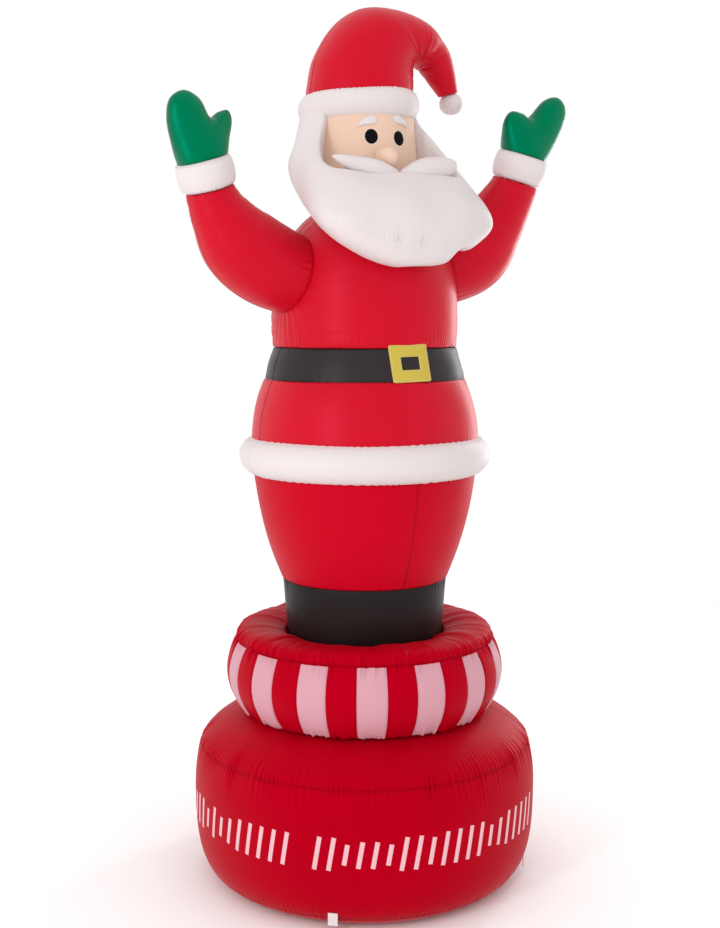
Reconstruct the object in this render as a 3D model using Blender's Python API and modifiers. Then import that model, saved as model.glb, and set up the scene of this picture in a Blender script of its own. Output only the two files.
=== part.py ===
# Inflatable garden Santa with raised arms, standing in a striped ring on a round drum.
# Metres, +Z up. The origin is the middle of the drum's underside, and Santa faces -Y.
# Every sewn panel is one closed solid. The heights stack up from the ground.
import math

import bmesh
import bpy
from mathutils import Matrix, Vector

# Values that every piece shares
GAP = 0.0003
SEGMENTS = 32
SMALL_SEGMENTS = 20
TUBE_RESOLUTION = 3
PATH_STEPS = 2

# Drum on the ground
DRUM_HEIGHT = 0.485
DRUM_FOOT_RADIUS = 0.345
DRUM_WIDEST_RADIUS = 0.492
DRUM_WIDEST_HEIGHT = 0.270
DRUM_SEAM_RADIUS = 0.4735
DRUM_SEAM_HEIGHT = 0.390
DRUM_SEAT_RADIUS = 0.322
DRUM_SHOULDER_BULGE = 0.0045
DRUM_FOOT_POWER = 3.3
DRUM_TOP_POWER = 1.4

# Ring that rests on the drum
RING_HEIGHT = 0.2420
RING_FOOT_RADIUS = 0.352
RING_SEAM_RADIUS = 0.3690
RING_SEAM_HEIGHT = 0.2027
RING_BULGE = 0.0355
RING_CREST_RADIUS = 0.300
RING_TOP_BULGE = 0.004
RING_TOP_POWER = 2.7
SOCKET_DEPTH = 0.0620
SOCKET_RIM_DROP = 0.0310
SOCKET_CLEARANCE = 0.0006

# Turned panels of the figure, from the soles up
SOLE_RADIUS = 0.2196
ANKLE_RADIUS = 0.2355
BOOT_HEIGHT = 0.194
TROUSER_HEIGHT = 0.353
TROUSER_BULGE = 0.0135
HIP_RADIUS = 0.3195
SKIRT_HEIGHT = 0.2143
SKIRT_BULGE = 0.0145
BELT_BOTTOM_RADIUS = 0.2827
BELT_HEIGHT = 0.0875
WAIST_RADIUS = 0.2577
CHEST_HEIGHT = 0.085
CHEST_RADIUS = 0.262
SHOULDER_HEIGHT = 0.290
SHOULDER_REACH = 0.322
SHOULDER_POWER = 2.3
HEM_TUBE_RADIUS = 0.054
HEM_PROUD = 0.0365
HEM_STEPS = 12

# Sewn patches
PATCH_THICKNESS = 0.0015
PATCH_CLEARANCE = 0.0006
BUCKLE_WIDTH = 0.106
BUCKLE_HEIGHT = 0.096
BUCKLE_RISE = 0.005
BUCKLE_WINDOW_WIDTH = 0.047
BUCKLE_WINDOW_HEIGHT = 0.035

# Head, a little behind the middle of the shoulders
HEAD_BACK = 0.037
HEAD_HEIGHT = 0.3094
HEAD_FOOT_RADIUS = 0.140
CHEEK_RADIUS = 0.166
CHEEK_HEIGHT = 0.130
CROWN_RADIUS = 0.148
JAW_BULGE = 0.008

# Hat, with its white band rolled down towards Santa's right
HAT_RADIUS = 0.152
HAT_HEIGHT = 0.243
BAND_RADIUS = 0.1697
BAND_THICKNESS = 0.050
BAND_HEIGHT = 0.078
BAND_DROP = 0.023
BAND_ROLL = math.radians(3.5)
BAND_STEPS = 10
POMPOM_RADIUS = 0.037
POMPOM_SQUASH = 0.92

# Face, by angle round the head and height above its foot
EYE_ANGLE = math.radians(15.2)
EYE_HEIGHT = 0.190
EYE_WIDTH = 0.034
EYE_TALLNESS = 0.040
BROW_ANGLE = math.radians(18)
BROW_HEIGHT = 0.232
BROW_WIDTH = 0.056
BROW_TALLNESS = 0.016
BROW_ARCH = 0.012
NOSE_WIDTH = 0.056
NOSE_TALLNESS = 0.064
NOSE_DEPTH = 0.084
NOSE_HEIGHT = 0.122
NOSE_FORWARD = 0.156

# Moustache, a padded bar with two lobes
MOUSTACHE_SPAN = 0.374
MOUSTACHE_HEIGHT = 0.090
MOUSTACHE_RISE = 0.030
MOUSTACHE_FORWARD = 0.188
MOUSTACHE_SWEEP = 0.006
MOUSTACHE_MIDDLE_THICKNESS = 0.028
MOUSTACHE_LOBE_THICKNESS = 0.044
MOUSTACHE_TIP_THICKNESS = 0.016
MOUSTACHE_DEPTH_SHARE = 1.25
MOUSTACHE_STEPS = 12
MOUSTACHE_SIDES = 10

# Cuffs and mittens
CUFF_LENGTH = 0.078
CUFF_BULGE = 0.008
CUFF_PROUD = 0.003
CUFF_FLARE = 0.004
SLEEVE_END_LENGTH = 0.020
SLEEVE_END_FLARE = 1.04
CUFF_LEAN_OUT = {"right": math.radians(17.7), "left": math.radians(12.3)}
CUFF_LEAN_FORWARD = {"right": math.radians(8.0), "left": math.radians(13.8)}
MITTEN_THICKNESS = 0.096

# Webbing tabs that hang from the drum's side near its foot, for ground pegs
TAB_COUNT = 4
TAB_FIRST_ANGLE = math.radians(-36.9)
TAB_WIDTH = 0.026
TAB_LENGTH = 0.034
TAB_THICKNESS = 0.003
TAB_TOP = 0.056

# Levels that the heights above add up to
RING_BASE = DRUM_HEIGHT + GAP
SOCKET_LEVEL = RING_BASE + RING_HEIGHT - SOCKET_DEPTH
BOOT_BASE = SOCKET_LEVEL + GAP
TROUSER_BASE = BOOT_BASE + BOOT_HEIGHT + GAP
SKIRT_BASE = TROUSER_BASE + TROUSER_HEIGHT + GAP
BELT_BASE = SKIRT_BASE + SKIRT_HEIGHT + GAP
CHEST_BASE = BELT_BASE + BELT_HEIGHT + GAP
SHOULDER_BASE = CHEST_BASE + CHEST_HEIGHT
HEAD_BASE = SHOULDER_BASE + SHOULDER_HEIGHT + GAP
HAT_BASE = HEAD_BASE + HEAD_HEIGHT + GAP

# Arms: outwards, forwards, above the shoulder base, and radius. The right arm is on -X.
ARM_PATHS = {
    "right": (
        (0.120, 0.010, 0.103, 0.100),
        (0.237, 0.020, 0.122, 0.107),
        (0.321, 0.025, 0.153, 0.110),
        (0.393, 0.035, 0.200, 0.103),
        (0.448, 0.050, 0.263, 0.080),
        (0.480, 0.062, 0.327, 0.0635),
    ),
    "left": (
        (0.120, 0.010, 0.112, 0.100),
        (0.250, 0.020, 0.150, 0.110),
        (0.335, 0.027, 0.190, 0.110),
        (0.388, 0.042, 0.258, 0.094),
        (0.432, 0.060, 0.335, 0.075),
        (0.454, 0.070, 0.388, 0.0650),
    ),
}

# Mitten outlines: towards the thumb, and beyond the cuff. A pillow rises inside them.
PILLOW_SHARES = (0.92, 0.76, 0.45)
MITTEN_CENTRE = (0.0, 0.080)
MITTEN_OUTLINES = {
    "right": (
        (-0.064, -0.020),
        (-0.069, 0.047),
        (-0.065, 0.115),
        (-0.044, 0.163),
        (-0.002, 0.175),
        (0.033, 0.144),
        (0.0455, 0.095),
        (0.074, 0.101),
        (0.101, 0.099),
        (0.103, 0.070),
        (0.080, 0.025),
        (0.063, -0.020),
    ),
    "left": (
        (-0.058, -0.020),
        (-0.079, 0.050),
        (-0.091, 0.125),
        (-0.080, 0.171),
        (-0.045, 0.189),
        (-0.006, 0.163),
        (0.020, 0.101),
        (0.048, 0.107),
        (0.082, 0.103),
        (0.094, 0.075),
        (0.085, 0.035),
        (0.066, -0.020),
    ),
}

# Beard and hair sections: above the head's foot, half width, where it is widest,
# front, back, and how full its back is
BEARD_SECTIONS = (
    (-0.162, 0.050, -0.290, -0.318, -0.235, 2.0),
    (-0.151, 0.098, -0.280, -0.332, -0.215, 2.0),
    (-0.133, 0.146, -0.268, -0.342, -0.190, 2.0),
    (-0.093, 0.212, -0.258, -0.350, -0.140, 1.9),
    (-0.046, 0.257, -0.245, -0.346, -0.040, 1.7),
    (0.005, 0.256, -0.218, -0.322, 0.180, 1.5),
    (0.047, 0.247, -0.173, -0.285, 0.225, 1.6),
    (0.092, 0.237, -0.124, -0.225, 0.240, 1.8),
    (0.135, 0.224, -0.080, -0.165, 0.240, 2.0),
    (0.191, 0.194, -0.028, -0.130, 0.230, 2.0),
    (0.242, 0.166, 0.020, -0.110, 0.215, 2.0),
    (0.274, 0.160, 0.037, -0.100, 0.200, 2.0),
)
BEARD_FULLNESS = 2.2
BEARD_SIDES = 28

# Opening in the hair for the face, an upright bowl that its round foot closes
OPENING_FORWARD = 0.220
OPENING_HALF_WIDTH = 0.210
OPENING_HALF_DEPTH = 0.240
OPENING_FOOT = 0.098
OPENING_ROUNDING = 0.040

# Tail of the hat: sideways, above the hat's foot, and radius
TAIL_PATH = (
    (0.000, 0.100, 0.085),
    (0.060, 0.130, 0.113),
    (0.131, 0.163, 0.095),
    (0.198, 0.158, 0.068),
    (0.240, 0.117, 0.052),
    (0.267, 0.078, 0.039),
    (0.289, 0.035, 0.0275),
)
POMPOM_BEYOND_TAIL = (0.010, -0.023)


def clear_scene():
    for old in list(bpy.data.objects):
        bpy.data.objects.remove(old)


def add_collection(name):
    collection = bpy.data.collections.new(name)
    bpy.context.scene.collection.children.link(collection)
    return collection


clear_scene()
PARTS = add_collection("inflatable_santa")
CUTTERS = add_collection("cutters")


def make_material(name, colour, roughness=0.45):
    material = bpy.data.materials.new(name)
    material.use_nodes = True
    shader = material.node_tree.nodes["Principled BSDF"]
    shader.inputs["Base Color"].default_value = (*colour, 1.0)
    shader.inputs["Roughness"].default_value = roughness
    shader.inputs["Metallic"].default_value = 0.0
    return material


RED = make_material("red_nylon", (0.62, 0.004, 0.016))
WHITE = make_material("white_nylon", (0.86, 0.82, 0.82))
BLACK = make_material("black_nylon", (0.012, 0.012, 0.014))
GREEN = make_material("green_nylon", (0.0, 0.21, 0.09))
SKIN = make_material("skin_nylon", (0.90, 0.60, 0.44))
YELLOW = make_material("yellow_nylon", (0.62, 0.52, 0.04))
WEBBING = make_material("white_webbing", (0.80, 0.80, 0.80), 0.8)


def place(name, mesh, material):
    """Links a mesh as a part, or as a hidden cutter where it has no material."""
    thing = bpy.data.objects.new(name, mesh)
    if material:
        PARTS.objects.link(thing)
        mesh.materials.append(material)
        mesh.shade_smooth()
    else:
        CUTTERS.objects.link(thing)
        thing.hide_render = True
        thing.display_type = "WIRE"
    return thing


def finish_bmesh(shape, name):
    bmesh.ops.recalc_face_normals(shape, faces=shape.faces)
    mesh = bpy.data.meshes.new(name)
    shape.to_mesh(mesh)
    shape.free()
    return mesh


def add_boolean(thing, operation, other):
    modifier = thing.modifiers.new(f"{operation.lower()} {other.name}", "BOOLEAN")
    modifier.operation = operation
    modifier.object = other


def bulged(top, foot, bulge, steps):
    """Points after top on a curve down to foot, which bulges away from the axis."""
    top, foot = Vector(top), Vector(foot)
    chord = foot - top
    outwards = Vector((-chord.y, chord.x)).normalized()
    points = []
    for step in range(1, steps + 1):
        share = step / steps
        swell = 4 * share * (1 - share) * bulge
        points.append(tuple(top + chord * share + outwards * swell))
    return points


def quarter(inner, rim, foot, top, steps, power=2.0, reach=1.0):
    """Points of a rounded corner from its top, at radius inner, out and down to its rim.

    A higher power makes it squarer, and a reach under 1 starts it lower than its top.
    """
    first = math.asin(reach ** (power / 2))
    points = []
    for step in range(steps + 1):
        angle = first * (1 - step / steps)
        across = math.cos(angle) ** (2 / power)
        up = math.sin(angle) ** (2 / power)
        points.append((inner + (rim - inner) * across, foot + (top - foot) * up))
    return points


def radius_at(side, height):
    """Radius of a turned panel's side at a height."""
    for (upper, top), (lower, foot) in zip(side, side[1:]):
        if foot <= height <= top and top > foot:
            return lower + (upper - lower) * (height - foot) / (top - foot)
    return side[0][0] if height > side[0][1] else side[-1][0]


def turned(name, points, material=None, segments=SEGMENTS, closed=False):
    """Turns a profile of (radius, height) points, which runs down the outer side, round Z."""
    count = len(points)
    edges = [(i, (i + 1) % count) for i in range(count if closed else count - 1)]
    mesh = bpy.data.meshes.new(name)
    mesh.from_pydata([(radius, 0.0, height) for radius, height in points], edges, [])
    thing = place(name, mesh, material)
    screw = thing.modifiers.new("turn", "SCREW")
    screw.steps = screw.render_steps = segments
    screw.use_merge_vertices = True
    screw.merge_threshold = 0.00001
    screw.use_smooth_shade = True
    return thing


def solid_profile(side):
    """Closes a side, from its top rim to its bottom rim, with flat ends on the axis."""
    return [(0.0, side[0][1]), *side, (0.0, side[-1][1])]


def grown(side, amount):
    """A side that stands proud by amount, and runs on by amount past both ends."""
    wider = [(radius + amount, height) for radius, height in side]
    wider[0] = (wider[0][0], wider[0][1] + amount)
    wider[-1] = (wider[-1][0], wider[-1][1] - amount)
    return wider


def smooth_path(points, steps):
    """A Catmull-Rom curve through points of any width, as tuples."""
    points = [Vector(point) for point in points]
    ends = [2 * points[0] - points[1], *points, 2 * points[-1] - points[-2]]
    path = [points[0]]
    for before, start, stop, after in zip(ends, ends[1:], ends[2:], ends[3:]):
        for step in range(1, steps + 1):
            t = step / steps
            pull = (stop - before) * t + (2 * before - 5 * start + 4 * stop - after) * t * t
            pull += (3 * start - before - 3 * stop + after) * t * t * t
            path.append(start + pull / 2)
    return path


def tube_mesh(name, path):
    """A closed tube along a path of (place, radius) pairs, with flat welded ends."""
    curve = bpy.data.curves.new(name, "CURVE")
    curve.dimensions = "3D"
    curve.bevel_depth = 1.0
    curve.bevel_resolution = TUBE_RESOLUTION
    curve.use_fill_caps = True
    spline = curve.splines.new("POLY")
    spline.points.add(len(path) - 1)
    for point, (spot, radius) in zip(spline.points, path):
        point.co = (*spot, 1.0)
        point.radius = radius
    guide = bpy.data.objects.new(name, curve)
    CUTTERS.objects.link(guide)
    graph = bpy.context.evaluated_depsgraph_get()
    mesh = bpy.data.meshes.new_from_object(guide.evaluated_get(graph))
    bpy.data.objects.remove(guide)
    bpy.data.curves.remove(curve)
    shape = bmesh.new()
    shape.from_mesh(mesh)
    bmesh.ops.remove_doubles(shape, verts=shape.verts, dist=0.00001)
    bpy.data.meshes.remove(mesh)
    return finish_bmesh(shape, name)


# Sides of the turned panels, which their neighbours' fits and cutters also use


def drum_side():
    seam = (DRUM_SEAM_RADIUS, DRUM_SEAM_HEIGHT)
    widest = (DRUM_WIDEST_RADIUS, DRUM_WIDEST_HEIGHT)
    side = quarter(DRUM_SEAT_RADIUS, seam[0], seam[1], DRUM_HEIGHT, 3, DRUM_TOP_POWER)
    side += bulged(seam, widest, DRUM_SHOULDER_BULGE, 2)
    corner = quarter(DRUM_FOOT_RADIUS, widest[0], widest[1], 0.0, 7, DRUM_FOOT_POWER)
    return side + corner[-2::-1]


def boot_side():
    return [(ANKLE_RADIUS, BOOT_BASE + BOOT_HEIGHT), (SOLE_RADIUS, BOOT_BASE)]


def trouser_side():
    rim = (HIP_RADIUS, TROUSER_BASE + TROUSER_HEIGHT)
    return [rim, *bulged(rim, (ANKLE_RADIUS, TROUSER_BASE), TROUSER_BULGE, 5)]


def skirt_side():
    rim = (BELT_BOTTOM_RADIUS, SKIRT_BASE + SKIRT_HEIGHT)
    return [rim, *bulged(rim, (HIP_RADIUS, SKIRT_BASE), SKIRT_BULGE, 4)]


def belt_side():
    return [(WAIST_RADIUS, BELT_BASE + BELT_HEIGHT), (BELT_BOTTOM_RADIUS, BELT_BASE)]


def chest_side():
    top = SHOULDER_BASE + SHOULDER_REACH
    reach = SHOULDER_HEIGHT / SHOULDER_REACH
    side = quarter(0.0, CHEST_RADIUS, SHOULDER_BASE, top, 7, SHOULDER_POWER, reach)
    return side + [(WAIST_RADIUS, CHEST_BASE)]


def head_side():
    crown = (CROWN_RADIUS, HEAD_BASE + HEAD_HEIGHT)
    cheek = (CHEEK_RADIUS, HEAD_BASE + CHEEK_HEIGHT)
    foot = (HEAD_FOOT_RADIUS, HEAD_BASE)
    return [crown, *bulged(crown, cheek, 0.0, 2), *bulged(cheek, foot, JAW_BULGE, 3)]


def hat_side():
    return quarter(0.0, HAT_RADIUS, HAT_BASE, HAT_BASE + HAT_HEIGHT, 6)


# Turned pieces


def make_drum():
    turned("base_drum", solid_profile(drum_side()), RED)


def make_ring():
    crest_level = RING_BASE + RING_HEIGHT
    seam = (RING_SEAM_RADIUS, RING_BASE + RING_SEAM_HEIGHT)
    boot = boot_side()
    rim, floor_rim = [
        (radius_at(boot, level) + SOCKET_CLEARANCE, level)
        for level in (crest_level - SOCKET_RIM_DROP, SOCKET_LEVEL)
    ]
    side = [floor_rim, rim]
    side += bulged(rim, (RING_CREST_RADIUS, crest_level), RING_TOP_BULGE, 2)
    side += quarter(RING_CREST_RADIUS, seam[0], seam[1], crest_level, 4, RING_TOP_POWER)[1:]
    side += bulged(seam, (RING_FOOT_RADIUS, RING_BASE), RING_BULGE, 5)
    turned("striped_ring", solid_profile(side), RED)


def make_body():
    turned("boots", solid_profile(boot_side()), BLACK)
    turned("trousers", solid_profile(trouser_side()), RED)
    turned("coat_skirt", solid_profile(skirt_side()), RED)
    turned("belt", solid_profile(belt_side()), BLACK)
    turned("coat_top", solid_profile(chest_side()), RED)


def make_body_cutter():
    side = chest_side() + belt_side() + skirt_side() + trouser_side()
    return turned("body_cutter", solid_profile(grown(side, GAP)))


def ring_loop(radius, half_thickness, half_height, level, steps):
    """A tube's profile, running down its outer side."""
    points = []
    for step in range(steps):
        angle = math.tau * step / steps
        points.append(
            (radius + half_thickness * math.sin(angle), level + half_height * math.cos(angle))
        )
    return points


def make_hem(body_cutter):
    radius = HIP_RADIUS + HEM_PROUD - HEM_TUBE_RADIUS
    loop = ring_loop(radius, HEM_TUBE_RADIUS, HEM_TUBE_RADIUS, SKIRT_BASE, HEM_STEPS)
    hem = turned("coat_hem", loop, WHITE, closed=True)
    add_boolean(hem, "DIFFERENCE", body_cutter)


# Sewn patches that follow a turned panel


def bent_patch(mesh, side, turn_angle, level, material, back=0.0, arch=0.0):
    """Wraps a flat patch, drawn in X and Y about its middle, round a turned panel's side."""
    half_width = max(vertex.co.x for vertex in mesh.vertices)
    middle_radius = radius_at(side, level)
    for vertex in mesh.vertices:
        across = vertex.co.x
        height = level + vertex.co.y - arch * (across / half_width) ** 2
        angle = turn_angle + across / middle_radius
        radius = radius_at(side, height) + PATCH_CLEARANCE
        vertex.co = (radius * math.sin(angle), back - radius * math.cos(angle), height)
    patch = place(mesh.name, mesh, material)
    cloth = patch.modifiers.new("cloth", "SOLIDIFY")
    cloth.thickness = PATCH_THICKNESS
    cloth.offset = 1.0


def oval_mesh(name, width, tallness):
    shape = bmesh.new()
    bmesh.ops.create_circle(shape, cap_ends=True, cap_tris=True, segments=16, radius=0.5)
    bmesh.ops.scale(shape, vec=(width, tallness, 1.0), verts=shape.verts)
    return finish_bmesh(shape, name)


def frame_mesh(name, width, height, window_width, window_height):
    """A flat frame of eight quads round a window."""
    columns = (-width / 2, -window_width / 2, 0.0, window_width / 2, width / 2)
    rows = (-height / 2, -window_height / 2, window_height / 2, height / 2)
    shape = bmesh.new()
    grid = [[shape.verts.new((x, y, 0.0)) for x in columns] for y in rows]
    for row in range(3):
        for column in range(4):
            if row == 1 and column in (1, 2):
                continue
            corners = (
                grid[row][column],
                grid[row][column + 1],
                grid[row + 1][column + 1],
                grid[row + 1][column],
            )
            shape.faces.new(corners)
    mesh = bpy.data.meshes.new(name)
    shape.to_mesh(mesh)
    shape.free()
    return mesh


def make_buckle():
    flat = frame_mesh(
        "belt_buckle", BUCKLE_WIDTH, BUCKLE_HEIGHT, BUCKLE_WINDOW_WIDTH, BUCKLE_WINDOW_HEIGHT
    )
    level = BELT_BASE + BELT_HEIGHT / 2 + BUCKLE_RISE
    bent_patch(flat, grown(belt_side(), GAP), 0.0, level, YELLOW)


def make_face():
    side = head_side()
    for name, hand in (("right", -1), ("left", 1)):
        eye = oval_mesh(f"{name}_eye", EYE_WIDTH, EYE_TALLNESS)
        bent_patch(eye, side, hand * EYE_ANGLE, HEAD_BASE + EYE_HEIGHT, BLACK, HEAD_BACK)
        brow = oval_mesh(f"{name}_eyebrow", BROW_WIDTH, BROW_TALLNESS)
        level = HEAD_BASE + BROW_HEIGHT
        bent_patch(brow, side, hand * BROW_ANGLE, level, WHITE, HEAD_BACK, BROW_ARCH)


# Head and hat


def make_head():
    head = turned("head", solid_profile(head_side()), SKIN)
    head.location.y = HEAD_BACK


def make_head_cutter():
    side = hat_side()[1:] + head_side()
    head_cutter = turned("head_cutter", solid_profile(grown(side, GAP)))
    head_cutter.location.y = HEAD_BACK
    return head_cutter


def ball_mesh(name, width, depth, height):
    shape = bmesh.new()
    bmesh.ops.create_uvsphere(shape, u_segments=14, v_segments=8, radius=0.5)
    bmesh.ops.scale(shape, vec=(width, depth, height), verts=shape.verts)
    return finish_bmesh(shape, name)


def make_pompom():
    tip = TAIL_PATH[-1]
    side = tip[0] + POMPOM_BEYOND_TAIL[0]
    middle = (side, HEAD_BACK, HAT_BASE + tip[1] + POMPOM_BEYOND_TAIL[1])
    size = 2 * POMPOM_RADIUS
    pompom = place("pompom", ball_mesh("pompom", size, size, size * POMPOM_SQUASH), WHITE)
    pompom.location = middle
    size += 2 * GAP
    mesh = ball_mesh("pompom_cutter", size, size, size * POMPOM_SQUASH)
    pompom_cutter = place("pompom_cutter", mesh, None)
    pompom_cutter.location = middle
    return pompom_cutter


def make_hat(pompom_cutter):
    dome = turned("hat", [*hat_side(), (0.0, HAT_BASE)], RED)
    dome.location.y = HEAD_BACK
    path = [
        ((point[0], HEAD_BACK, HAT_BASE + point[1]), point[2])
        for point in smooth_path(TAIL_PATH, PATH_STEPS)
    ]
    tail = place("hat_tail", tube_mesh("hat_tail", path), None)
    add_boolean(dome, "UNION", tail)
    add_boolean(dome, "DIFFERENCE", pompom_cutter)


def band_loop(swell):
    half_thickness = BAND_THICKNESS / 2
    radius = BAND_RADIUS - half_thickness
    return ring_loop(radius, half_thickness + swell, BAND_HEIGHT / 2 + swell, 0.0, BAND_STEPS)


def make_band(head_cutter):
    band = turned("hat_band", band_loop(0.0), WHITE, closed=True)
    band_cutter = turned("band_cutter", band_loop(GAP), closed=True)
    for thing in (band, band_cutter):
        thing.location = (0.0, HEAD_BACK, HAT_BASE - BAND_DROP)
        thing.rotation_euler.y = -BAND_ROLL
    add_boolean(band, "DIFFERENCE", head_cutter)
    return band_cutter


def make_nose(head_cutter):
    size = Vector((NOSE_WIDTH, NOSE_DEPTH, NOSE_TALLNESS))
    nose = place("nose", ball_mesh("nose", *size), SKIN)
    size += Vector((1, 1, 1)) * 2 * GAP
    nose_cutter = place("nose_cutter", ball_mesh("nose_cutter", *size), None)
    for thing in (nose, nose_cutter):
        thing.location = (0.0, -NOSE_FORWARD, HEAD_BASE + NOSE_HEIGHT)
    add_boolean(nose, "DIFFERENCE", head_cutter)
    return nose_cutter


# Beard and moustache


def power_wave(value, power):
    return math.copysign(abs(value) ** (2 / power), value)


def beard_loop(half_width, middle, front, back, back_fullness):
    """One level of the beard: rounded in front, and drawn in behind."""
    points = []
    for side in range(BEARD_SIDES):
        angle = math.tau * side / BEARD_SIDES
        behind = math.sin(angle) > 0
        power = back_fullness if behind else BEARD_FULLNESS
        depth = back - middle if behind else middle - front
        points.append(
            (
                half_width * power_wave(math.cos(angle), power),
                middle + depth * power_wave(math.sin(angle), power),
            )
        )
    return points


def loft_mesh(name, levels):
    """Joins closed loops of 3D points, all with the same count, and caps both ends."""
    shape = bmesh.new()
    loops = [[shape.verts.new(point) for point in level] for level in levels]
    for lower, upper in zip(loops, loops[1:]):
        for index in range(len(lower)):
            following = (index + 1) % len(lower)
            shape.faces.new((lower[index], lower[following], upper[following], upper[index]))
    shape.faces.new(reversed(loops[0]))
    shape.faces.new(loops[-1])
    return finish_bmesh(shape, name)


def make_opening_cutter():
    """A bowl round the face: upright walls, a flat foot, and a rounding between them."""
    foot = HEAD_BASE + OPENING_FOOT
    wall = OPENING_HALF_DEPTH
    corner = quarter(wall - OPENING_ROUNDING, wall, foot + OPENING_ROUNDING, foot, 3)
    side = [(wall, HAT_BASE), *corner[::-1]]
    opening = turned("opening_cutter", solid_profile(side))
    opening.location.y = -OPENING_FORWARD
    opening.scale.x = OPENING_HALF_WIDTH / OPENING_HALF_DEPTH
    return opening


def make_beard(cutters):
    levels = []
    for height, *section in BEARD_SECTIONS:
        levels.append([(x, y, HEAD_BASE + height) for x, y in beard_loop(*section)])
    beard = place("beard", loft_mesh("beard", levels), WHITE)
    for other in cutters:
        add_boolean(beard, "DIFFERENCE", other)


def moustache_levels(swell):
    """Cross-sections along X: thickest in the middle of each lobe, and thin at the tips."""
    levels = []
    for step in range(MOUSTACHE_STEPS + 1):
        along = 2 * step / MOUSTACHE_STEPS - 1
        reach = abs(along)
        ends = MOUSTACHE_MIDDLE_THICKNESS * (1 - reach) + MOUSTACHE_TIP_THICKNESS * reach
        fullest = (MOUSTACHE_MIDDLE_THICKNESS + MOUSTACHE_TIP_THICKNESS) / 2
        lobe = (MOUSTACHE_LOBE_THICKNESS - fullest) * math.sin(math.pi * reach)
        half_height = (ends + lobe) / 2
        half_depth = half_height * MOUSTACHE_DEPTH_SHARE
        level = HEAD_BASE + MOUSTACHE_HEIGHT + MOUSTACHE_RISE * reach
        middle = -MOUSTACHE_FORWARD + MOUSTACHE_SWEEP * reach**2
        loop = []
        for side in range(MOUSTACHE_SIDES):
            angle = math.tau * side / MOUSTACHE_SIDES
            loop.append(
                (
                    along * (MOUSTACHE_SPAN / 2 + swell),
                    middle + (half_depth + swell) * math.cos(angle),
                    level + (half_height + swell) * math.sin(angle),
                )
            )
        levels.append(loop)
    return levels


def make_moustache(nose_cutter, head_cutter):
    moustache = place("moustache", loft_mesh("moustache", moustache_levels(0.0)), WHITE)
    add_boolean(moustache, "DIFFERENCE", nose_cutter)
    add_boolean(moustache, "DIFFERENCE", head_cutter)
    return place("moustache_cutter", loft_mesh("moustache_cutter", moustache_levels(GAP)), None)


# Arms


def arm_point(side, point):
    """A point of an arm's path as a place in the object's frame."""
    hand = -1 if side == "right" else 1
    outwards, forwards, height = point[:3]
    return Vector((hand * outwards, -forwards, SHOULDER_BASE + height))


def arm_axis(side):
    """Unit vector out of a sleeve's end."""
    hand = -1 if side == "right" else 1
    out = hand * math.tan(CUFF_LEAN_OUT[side])
    forwards = math.tan(CUFF_LEAN_FORWARD[side])
    return Vector((out, -forwards, 1.0)).normalized()


def arm_turn(side):
    """Turn that sends Z along the arm's axis and keeps X across the palm."""
    along = arm_axis(side)
    behind = Vector((0, 1, 0))
    behind = (behind - along * behind.dot(along)).normalized()
    across = behind.cross(along)
    return Matrix((across, behind, along)).transposed().to_euler()


def make_sleeve(side, body_cutter):
    end, radius = arm_point(side, ARM_PATHS[side][-1]), ARM_PATHS[side][-1][3]
    points = smooth_path(ARM_PATHS[side][:-1], PATH_STEPS)
    path = [(arm_point(side, point), point[3]) for point in points]
    path.append((end - arm_axis(side) * SLEEVE_END_LENGTH, radius * SLEEVE_END_FLARE))
    path.append((end, radius))
    sleeve = place(f"{side}_sleeve", tube_mesh(f"{side}_sleeve", path), RED)
    add_boolean(sleeve, "DIFFERENCE", body_cutter)


def make_cuff(side):
    radius = ARM_PATHS[side][-1][3] + CUFF_PROUD
    rim = (radius + CUFF_FLARE, CUFF_LENGTH)
    points = [rim, *bulged(rim, (radius, 0.0), CUFF_BULGE, 4)]
    cuff = turned(f"{side}_cuff", solid_profile(points), WHITE, SMALL_SEGMENTS)
    cuff.location = arm_point(side, ARM_PATHS[side][-1]) + arm_axis(side) * GAP
    cuff.rotation_euler = arm_turn(side)


def mitten_mesh(side):
    """A closed pillow over the mitten's outline, cut flat where the cuff begins."""
    out = 1 if side == "right" else -1
    corners = [Vector((out * x, y)) for x, y in MITTEN_OUTLINES[side]]
    outline = smooth_path(corners, PATH_STEPS)
    middle = Vector((out * MITTEN_CENTRE[0], MITTEN_CENTRE[1]))
    shape = bmesh.new()
    seam = [shape.verts.new((point.x, 0.0, point.y)) for point in outline]
    for face in (-1, 1):
        rings = [seam]
        for share in PILLOW_SHARES:
            height = face * MITTEN_THICKNESS / 2 * math.sqrt(1 - share**2)
            ring = []
            for point in outline:
                spot = middle + (point - middle) * share
                ring.append(shape.verts.new((spot.x, height, spot.y)))
            rings.append(ring)
        pole = shape.verts.new((middle.x, face * MITTEN_THICKNESS / 2, middle.y))
        for outer, inner in zip(rings, rings[1:]):
            for index in range(len(outer)):
                following = (index + 1) % len(outer)
                shape.faces.new((outer[index], outer[following], inner[following], inner[index]))
        for index in range(len(outline)):
            shape.faces.new((rings[-1][index], rings[-1][(index + 1) % len(outline)], pole))
    faces = shape.verts[:] + shape.edges[:] + shape.faces[:]
    cut = bmesh.ops.bisect_plane(
        shape, geom=faces, plane_co=(0, 0, 0), plane_no=(0, 0, -1), clear_outer=True
    )
    edges = [item for item in cut["geom_cut"] if isinstance(item, bmesh.types.BMEdge)]
    bmesh.ops.contextual_create(shape, geom=edges)
    return finish_bmesh(shape, f"{side}_mitten")


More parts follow.
